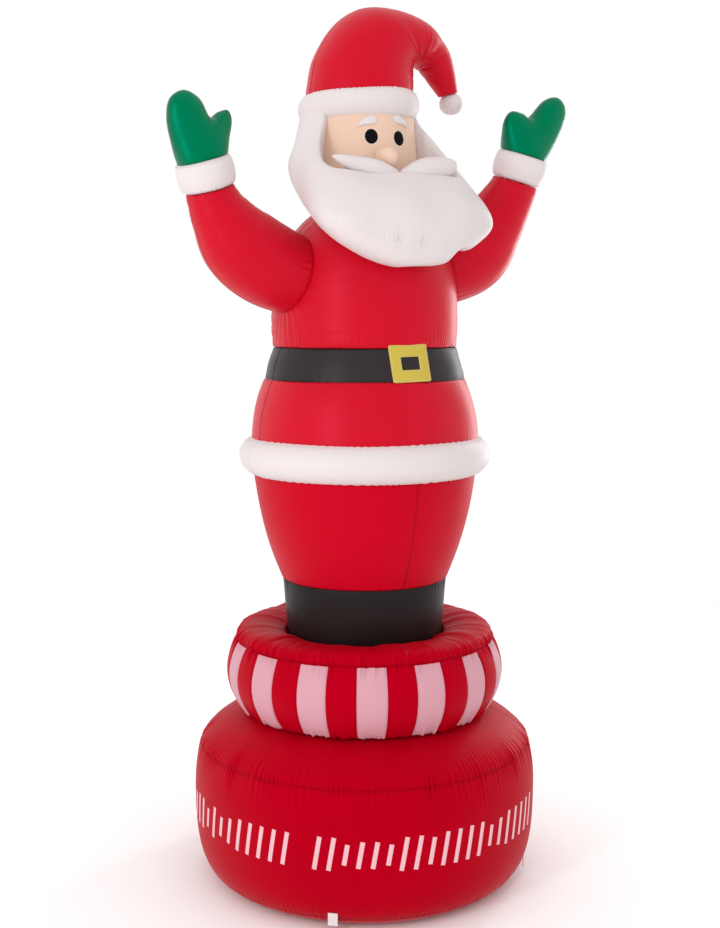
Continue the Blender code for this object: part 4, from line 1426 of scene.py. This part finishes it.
def patchGrid(outline, thickness, radiusAt, angle, level, back, rings=10):
    shares = np.sin(np.linspace(trimSetup["patchCentre"], 1, rings) * math.pi / 2)
    middle = outline.mean(0)
    flat = middle + (outline - middle) * shares[:, None, None]
    lift = thickness * (1 - shares ** trimSetup["patchSquareness"])[:, None] ** 0.5
    lift = trimSetup["patchLift"] + lift
    under = np.full((rings, 1), trimSetup["patchBack"])
    front = wrapPatch(flat, lift, radiusAt, angle, level, back)
    behind = wrapPatch(flat[::-1], under, radiusAt, angle, level, back)
    # Nearness to the sewn edge, which darkens the colour there: painted shade at the edge
    near = np.vstack([shares[:, None] ** trimSetup["patchNear"], np.ones((rings, 1))])
    near = np.tile(near, len(outline))
    stops = np.linspace(0, np.ptp(outline, 0).max(), 2 * rings)
    return {"points": np.vstack([front, behind]), "near": near, "stops": stops, "around": 0.12}


def oval(width, tallness, count=64):
    turns = turnsOf(count)
    return np.column_stack([width / 2 * np.cos(turns), tallness / 2 * np.sin(turns)])


def headRadius(height):
    base = levelsOf("head")[0]
    levels = [base, base + headSetup["cheekHeight"], levelsOf("head")[1]]
    return np.interp(height, levels, [headSetup["foot"], headSetup["cheek"], headSetup["crown"]])


def makeFace(setup):
    base = levelsOf("head")[0]
    rim = 2 * setup["eyeRim"]
    for side, hand in (("right", -1), ("left", 1)):
        angle = hand * setup["eyeAngle"] + setup["eyeShift"]
        place = (headRadius, angle, base + setup["eyeHeight"], headSetup["back"])
        width, tallness = setup["eyeSize"]
        patch = patchGrid(oval(width + rim, tallness + rim), setup["rimThickness"], *place)
        sewPanel(side + "EyeRim", patch, "whiteCloth")
        patch = patchGrid(oval(width, tallness), setup["eyeThickness"], *place)
        sewPanel(side + "EyeSkin", patch, "eyeCloth", [side + "_eye"])
        width, tallness = setup["browSize"]
        line = oval(width, tallness)
        share = line[:, 0] / width
        line[:, 1] *= 1.0 - hand * setup["browTaper"] * share
        line[:, 1] -= setup["browArch"] * (2 * share) ** 2
        line[:, 1] -= hand * line[:, 0] * math.tan(setup["browSlant"])
        level = base + setup["browHeights"][side]
        place = (headRadius, setup["browAngles"][side], level, headSetup["back"])
        patch = patchGrid(line, setup["browThickness"], *place)
        sewPanel(side + "BrowSkin", patch, "whiteCloth", [side + "_eyebrow"])


def ballGrid(size, spot, seed, rows=60, columns=96, seam=None):
    # The holes at the poles are closed with fans
    hole = 0.02
    tilt = np.linspace(hole, math.pi - hole, rows)[:, None]
    turns = turnsOf(columns)
    lump = 1 + 0.015 * drift(turns, 1, 4, seed) * np.sin(2 * tilt)
    relief, near = sewAll([(tilt * size[0] / 2, turns, seam)], lump.shape)
    unit = ringPoints(np.sin(tilt), turns, np.cos(tilt))
    points = unit * (lump + relief / size[0] * 2)[..., None] * np.array(size) / 2 + np.array(spot)
    stops = tilt[:, 0] * size[2] / 2
    return {"points": points, "near": near, "stops": stops, "around": math.pi * size[0]}


def makeNose(setup):
    spot = np.array(setup["noseSpot"]) + (0, 0, levelsOf("head")[0])
    grid = ballGrid(setup["noseSize"], spot, 111)
    sewPanel("noseSkin", grid, "skinCloth", ["nose"])


def rectangle(width, tallness, corner, count=40):
    # Points round a rectangle with small round corners, from the middle of its right side
    turns = (np.arange(4 * count) + 0.5) / (4 * count) * math.tau
    across, up = powerWave(np.cos(turns), corner), powerWave(np.sin(turns), corner)
    return np.column_stack([width / 2 * across, tallness / 2 * up])


def beltRadius(height):
    low, high, _ = levelsOf("belt")
    radii = [bodySetup["beltFoot"], bodySetup["waist"]]
    return np.interp(height, [low, high], radii) + trimSetup["beltLift"]


def makeBuckle(setup):
    low, high, _ = levelsOf("belt")
    outer = rectangle(*setup["buckleSize"], setup["buckleCorner"])
    window = rectangle(*setup["windowSize"], setup["buckleCorner"])
    share = np.concatenate([[0, 0.02, 0.05], np.linspace(0.12, 0.88, 9), [0.95, 0.98, 1]])[:, None]
    flat = window + (outer - window) * share[..., None]
    turn = setup["buckleRoll"]
    spin = np.array([[math.cos(turn), math.sin(turn)], [-math.sin(turn), math.cos(turn)]])
    flat = flat @ spin
    edge, thickness, under = setup["buckleLift"]
    lift = edge + thickness * (1 - np.abs(2 * share - 1) ** 8) ** 0.5
    level = (low + high) / 2 + setup["buckleRise"]
    front = wrapPatch(flat, lift, beltRadius, 0.0, level)
    behind = wrapPatch(flat[::-1], 0 * lift + under, beltRadius, 0.0, level)
    near = np.tile(np.abs(2 * share - 1) ** 20, (2, len(outer)))
    stops = np.linspace(0, 0.06, len(near))
    grid = {"points": np.vstack([front, behind]), "near": near, "stops": stops, "around": 0.3}
    return sewPanel("buckleSkin", grid, "yellowCloth", ["belt_buckle"], closed=True)


makeFace(trimSetup)
makeNose(trimSetup)
buckleSkin = makeBuckle(trimSetup)


# Moustache, pompom and webbing tabs

moustacheSetup = {
    "span": 0.374,
    "height": 0.090,
    "rise": 0.030,
    "forward": 0.188,
    "sweep": 0.006,
    "centreOut": 0.014,
    "middle": 0.036,
    "lobe": 0.078,
    "drop": 0.019,
    # How blunt each end is, and how steeply it closes
    "leftEnd": (3.2, 0.42),
    "rightEnd": (1.7, 0.62),
    "rightSlimming": 0.16,
    "riseCurve": 0.8,
    "wave": 0.004,
    "waveTurns": 5.0,
    "waveStart": 0.6,
    "thinnest": 0.0012,
    "reliefShare": 0.4,
    "rows": 150,
    "columns": 84,
    "seed": 121,
}
tabSetup = {
    "count": 4,
    "firstAngle": math.radians(-36.9),
    "width": 0.026,
    "length": 0.034,
    "thickness": 0.003,
    "ply": 0.42,
    "bendSteps": 14,
    "steps": 16,
    "across": (-1, -0.96, -0.6, -0.2, 0.2, 0.6, 0.96, 1),
    "edgePly": 0.5,
}


def makeMoustache(setup, others):
    base = levelsOf("head")[0]
    along = np.linspace(1, -1, setup["rows"])[:, None]
    reach = np.abs(along)
    blunt, steep = np.where(along > 0, setup["leftEnd"], setup["rightEnd"]).T[..., None]
    ends = (1 - reach**blunt).clip(0, 1) ** steep
    full = setup["middle"] + (setup["lobe"] - setup["middle"]) * np.sin(math.pi * reach.clip(0, 0.5))
    full = full * (1 - setup["rightSlimming"] * (along < 0) * reach)
    half = np.maximum(full * ends, setup["thinnest"]) / 2
    turns = turnsOf(setup["columns"])
    wave = setup["wave"] * np.sin(along * setup["waveTurns"] + setup["waveStart"]) * reach
    lift = setup["rise"] * reach ** setup["riseCurve"] + wave - setup["drop"] * (1 - reach)
    level = base + setup["height"] + lift
    middle = -setup["forward"] + setup["sweep"] * reach**2 - setup["centreOut"] * (1 - reach) ** 2
    gather = sewn(setup["seed"], pleats=22, depth=0.0030, reach=0.040, crease=0.0050, width=0.0050)
    gap = reach * setup["span"] / 2
    relief, near = seamRelief(gap, turns, gather)
    seam = sewn(setup["seed"] + 1, pleats=70, depth=0.0016, reach=0.014, crease=0.0014, width=0.003)
    for angle in (0.5 * math.pi, 1.5 * math.pi):
        sideways = np.abs(gapRound(turns, angle))[None, :] * half
        more, close = seamRelief(sideways, gap * 2 * math.tau, seam)
        relief = relief + more * (half / half.max())
        near = np.maximum(near, close)
    most = half * setup["reliefShare"]
    full = half + np.clip(relief, -most, most)
    behind, up = middle + full * np.cos(turns), level + full * np.sin(turns)
    points = np.stack(np.broadcast_arrays(along * setup["span"] / 2, behind, up), -1)
    stops = (1 - along[:, 0]) * setup["span"] / 2
    grid = {"points": points, "near": near, "stops": stops, "around": 0.14}
    mesh = gridMesh("moustache", grid)
    cutPiece("moustacheSkin", mesh, others, "whiteCloth", ["moustache"])


def makePompom(setup):
    low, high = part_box("pompom")
    spot = (low + high) / 2
    size = 2 * setup["pompomRadius"]
    seam = sewn(131, pleats=24, depth=0.0022, reach=0.030, crease=0.0030, width=0.006)
    sizes = (size, size, size * setup["pompomSquash"])
    grid = ballGrid(sizes, tuple(spot), 132, 56, 120, seam)
    return sewPanel("pompomSkin", grid, "whiteCloth", ["pompom"])


def makeTabs(setup):
    # A strap folded at its foot, so two layers of webbing hang from the drum
    ply = setup["thickness"] * setup["ply"]
    fold = setup["thickness"] / 2 - ply / 2
    turns = np.linspace(0, -math.pi, setup["bendSteps"])
    down = np.linspace(0, setup["length"] - setup["thickness"] / 2, setup["steps"])
    outer = np.column_stack([np.full(len(down), fold), -down])
    bend = np.column_stack([fold * np.cos(turns), -down[-1] + fold * np.sin(turns)])
    line = np.vstack([outer, bend[1:-1], outer[::-1] * (-1, 1)])
    slope = np.gradient(line, axis=0)
    slope /= np.linalg.norm(slope, axis=1)[:, None]
    side = np.column_stack([-slope[:, 1], slope[:, 0]]) * ply / 2
    loop = np.vstack([line + side, (line - side)[::-1]])
    across = np.array(setup["across"]) * setup["width"] / 2
    thin = np.ones(len(across))
    thin[[0, -1]] = setup["edgePly"]
    core = np.vstack([line, line[::-1]])
    flat = core + (loop - core) * thin[:, None, None]
    grid = {"near": np.zeros(flat.shape[:2]), "stops": across - across[0], "around": 0.14}
    for index in range(setup["count"]):
        node = f"stake_tab_{index + 1}"
        low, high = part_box(node)
        out = math.hypot(*((low + high) / 2).xy) + flat[..., 0]
        points = np.stack(np.broadcast_arrays(across[:, None], -out, high.z + flat[..., 1]), -1)
        angle = setup["firstAngle"] + math.tau * index / setup["count"]
        grid["points"] = moved(points, Matrix.Rotation(angle, 4, "Z"))
        mesh = gridMesh(node, grid)
        faceOutwards(mesh)
        addPiece(f"tabSkin{index + 1}", mesh, "webbing", [node])


makeMoustache(moustacheSetup, [headSkin])
pompomSkin = makePompom(hatSetup)
makeHat(hatSetup, pompomSkin)
makeTabs(tabSetup)


# Inscription band: parallel strokes of paler cloth, welded to the drum

strokeSetup = {
    "low": 0.181,
    "high": 0.2705,
    "groups": ((-113.0, -49.5, 14), (-43.5, 45.5, 20)),
    "lean": 0.9,
    "radius": 0.6,
    "points": 15,
    "seed": 7,
}
strokeValues = {"Width": 0.0125, "Thickness": 0.0016, "Step": 0.004, "Lift": 0.0002}


def startSewing(name, values):
    # Evened points of each line, the cloth that they lie on, and where they are
    kinds = {"Cloth": "Object", "Thread": "Material", **dict.fromkeys(values, "Float")}
    tree, given = startTree(name, kinds)
    curve = take(tree, "GeometryNodeMeshToCurve", {0: given["Geometry"]})
    evened = {"Curve": curve, "Length": given["Step"]}
    curve = take(tree, "GeometryNodeResampleCurve", evened, mode="LENGTH")
    cloth = take(tree, "GeometryNodeObjectInfo", {"Object": given["Cloth"]}, "Geometry")
    return tree, given, curve, cloth


def strokeTree():
    tree, given, curve, cloth = startSewing("paleStrokes", strokeValues)
    inwards = take(tree, "GeometryNodeInputPosition").vector("MULTIPLY", (-1.0, -1.0, 0.0))
    ray = {"Target Geometry": cloth, "Ray Direction": inwards, "Ray Length": 1.0}
    hit = take(tree, "GeometryNodeRaycast", ray, "Hit Position")
    out = inwards.vector("NORMALIZE").vector("SCALE", -1.0)
    placed = hit.vector("ADD", out.vector("SCALE", given["Lift"]))
    curve = take(tree, "GeometryNodeSetPosition", {0: curve, "Position": placed})
    curve = take(tree, "GeometryNodeSetCurveNormal", {0: curve, "Normal": out}, mode="FREE")
    shape = take(tree, "GeometryNodeCurvePrimitiveCircle", {"Resolution": 12, "Radius": 0.5})
    size = joined(tree, given["Thickness"], given["Width"], 1.0)
    shape = take(tree, "GeometryNodeTransform", {0: shape, "Scale": size})
    tube = {"Curve": curve, "Profile Curve": shape, "Fill Caps": True}
    tube = take(tree, "GeometryNodeCurveToMesh", tube)
    return endTree(tree, tube, (given["Thread"], True))


def strokeLines(setup):
    # Plain parallel strokes at one slant, in two groups, some of them shorter
    draws = np.random.default_rng(setup["seed"])
    half = (setup["high"] - setup["low"]) / 2
    share = np.linspace(-1, 1, setup["points"])
    lines = []
    for first, last, count in setup["groups"]:
        pitch = (last - first) / count
        for place in range(count):
            tall = half * draws.choice([1.0, 0.8, 0.62], p=[0.6, 0.2, 0.2])
            across = first + pitch * (place + 0.5) + setup["lean"] * share * tall / half
            up = setup["low"] + half + tall * share
            lines.append(ringPoints(setup["radius"], np.radians(across), up))
    return lines


def makeStrokes(setup):
    values = {**strokeValues, "Cloth": drumSkin, "Thread": cloths["markCloth"]}
    mesh = grown("strokes", linesMesh("strokes", strokeLines(setup)), strokeTree(), values)
    addPiece("paleStrokes", mesh, "markCloth")


makeStrokes(strokeSetup)


# Topstitching: short threads that lie on the cloth along each sewn edge

stitchValues = {"Step": 0.0062, "Length": 0.0042, "Thickness": 0.0013, "Lift": 0.0002}
stitchSetup = {
    "inset": 0.0045,
    "cuffInset": 1.4,
    # How far out each row is drawn before it is laid on its cloth
    "drawnOut": {"drum": 0.002, "ring": -0.001, "cuff": 0.003, "buckle": 0.006},
    "points": 240,
    "upright": (0.01, 0.02, 80),
    "hemShares": (0.54, 0.84),
    "buckleShares": {"buckleSize": 0.94, "windowSize": 1.12},
}


def stitchTree():
    tree, given, curve, cloth = startSewing("topstitch", stitchValues)
    ahead = take(tree, "GeometryNodeInputTangent")
    curve = keep(tree, curve, "ahead", ahead, "FLOAT_VECTOR")
    points = take(tree, "GeometryNodeCurveToPoints", {0: curve}, mode="EVALUATED")
    nearest = take(tree, "GeometryNodeProximity", {0: cloth}, "Position", target_element="FACES")
    facing = {0: cloth, "Value": take(tree, "GeometryNodeInputNormal")}
    out = take(tree, "GeometryNodeSampleNearestSurface", facing, data_type="FLOAT_VECTOR")
    points = keep(tree, points, "out", out, "FLOAT_VECTOR")
    placed = nearest.vector("ADD", out.vector("SCALE", given["Lift"]))
    points = take(tree, "GeometryNodeSetPosition", {0: points, "Position": placed})
    axes = {0: recall(tree, "out", "FLOAT_VECTOR"), 1: recall(tree, "ahead", "FLOAT_VECTOR")}
    turn = take(tree, "FunctionNodeAxesToRotation", axes, primary_axis="Z", secondary_axis="X")
    thread = take(tree, "GeometryNodeMeshIcoSphere", {"Radius": 0.5, "Subdivisions": 1})
    size = joined(tree, given["Length"], given["Thickness"], given["Thickness"])
    thread = take(tree, "GeometryNodeTransform", {0: thread, "Scale": size})
    threads = {"Points": points, "Instance": thread, "Rotation": turn}
    threads = take(tree, "GeometryNodeInstanceOnPoints", threads)
    return endTree(tree, threads, (given["Thread"], True))


def loopAt(radius, level, place=None):
    line = ringPoints(radius, np.linspace(0, math.tau, stitchSetup["points"]), level)
    return line if place is None else moved(line, place)


def bodyRadius(level):
    # Rough radius of the body at a height, which is enough to find the nearest cloth
    sizes = [bodySetup[size] for size in ("ankle", "hip", "beltFoot", "waist")]
    levels = [levelsOf("boots")[1], levelsOf("trousers")[1], *levelsOf("belt")[:2]]
    return np.interp(level, levels, sizes)


def stitchRows():
    # Lines of stitches for each colour of thread, each with the cloth that it lies on
    inset = stitchSetup["inset"]
    belt, boots = levelsOf("belt"), levelsOf("boots")
    rows = {"black": [], "red": [], "white": []}
    for colour, name, level in (
        ("black", "beltSkin", belt[0] + inset),
        ("black", "beltSkin", belt[1] - inset),
        ("black", "bootSkin", boots[1] - inset),
        ("red", "trouserSkin", boots[1] + inset),
    ):
        rows[colour].append((body[name], loopAt(bodyRadius(level), level)))
    foot, top, count = stitchSetup["upright"]
    heights = np.linspace(boots[1] + foot, levelsOf("trousers")[1] - top, count)
    for hand in (-1, 1):
        for ahead in (-1, 1):
            across = hand * inset + 0 * heights
            line = np.stack([across, ahead * bodyRadius(heights), heights], -1)
            rows["red"].append((body["trouserSkin"], line))
    out = stitchSetup["drawnOut"]
    radius, level = drumSetup["seamRadius"], drumSetup["seamHeight"]
    rows["red"].append((drumSkin, loopAt(radius - inset, level + inset)))
    rows["red"].append((drumSkin, loopAt(radius + out["drum"], level - inset)))
    level = levelsOf("striped_ring")[0] + ringSetup["seamHeight"] + inset
    rows["red"].append((ringSkin, loopAt(ringSetup["seamRadius"] + out["ring"], level)))
    tube = hemSetup["tube"]
    middle = sum(levelsOf("coat_hem")[:2]) / 2
    across, up = [tube * share for share in stitchSetup["hemShares"]]
    radius = bodySetup["hip"] + hemSetup["proud"] - tube + across
    for level in (middle - up, middle + up):
        rows["white"].append((hemSkin, loopAt(radius, level)))
    for side, arm in arms.items():
        radius = arm["path"][-1][3] + armSetup["cuffProud"] + out["cuff"]
        place = armPlace(arm, armSetup["gap"])
        edge = inset * stitchSetup["cuffInset"]
        for level in (edge, armSetup["cuffLength"] - edge):
            rows["white"].append((cuffSkins[side], loopAt(radius, level, place)))
    level = sum(belt[:2]) / 2 + trimSetup["buckleRise"]
    for size, share in stitchSetup["buckleShares"].items():
        edge = rectangle(*trimSetup[size], trimSetup["buckleCorner"]) * share
        line = wrapPatch(np.vstack([edge, edge[:1]]), out["buckle"], beltRadius, 0.0, level)
        rows["white"].append((buckleSkin, line))
    return rows


def makeStitches():
    tree = stitchTree()
    for colour, rows in stitchRows().items():
        parts = bmesh.new()
        for cloth, line in rows:
            values = {**stitchValues, "Cloth": cloth, "Thread": cloths[colour + "Thread"]}
            parts.from_mesh(grown("stitches", linesMesh("stitches", [line]), tree, values))
        mesh = bpy.data.meshes.new(colour + "Stitches")
        parts.to_mesh(mesh)
        parts.free()
        mesh.shade_smooth()
        addPiece(colour + "Stitches", mesh, colour + "Thread")


makeStitches()


# Floor and lights

studioSetup = {
    "floorSize": 40.0,
    "white": (1, 1, 1, 1),
    "skyStrength": 1.0,
    "lightsAim": (0, 0, 1.3),
    # Power, size and place of each strip light
    "key": (42.0, (0.4, 2.8), (-3.7, -2.0, 1.9)),
    "rim": (30.0, (0.5, 2.8), (3.2, 1.4, 1.9)),
}


def areaLight(name, power, size, spot, target):
    data = bpy.data.lights.new(name, "AREA")
    data.energy = power
    data.shape = "RECTANGLE"
    data.size, data.size_y = size
    light = bpy.data.objects.new(name, data)
    light.location = spot
    light.rotation_euler = (Vector(target) - Vector(spot)).to_track_quat("-Z", "Y").to_euler()
    scene.collection.objects.link(light)


def makeStudio(setup):
    shape = bmesh.new()
    bmesh.ops.create_grid(shape, size=setup["floorSize"] / 2)
    mesh = bpy.data.meshes.new("floor")
    shape.to_mesh(mesh)
    shape.free()
    paint = bpy.data.materials.new("floorPaint")
    paint.use_nodes = True
    finish = {"Base Color": setup["white"], "Specular IOR Level": 0.0}
    feed(paint.node_tree.nodes["Principled BSDF"], finish)
    mesh.materials.append(paint)
    floor = addObject("floor", mesh)
    floor.visible_glossy = False  # the fabric would mirror it as a grey veil
    sky = bpy.data.worlds.new("sky")
    sky.use_nodes = True
    glow = {"Color": setup["white"], "Strength": setup["skyStrength"]}
    feed(sky.node_tree.nodes["Background"], glow)
    scene.world = sky
    for name in ("key", "rim"):
        areaLight(name, *setup[name], setup["lightsAim"])
    scene.view_settings.view_transform = "Standard"


makeStudio(studioSetup)
print("studio made")
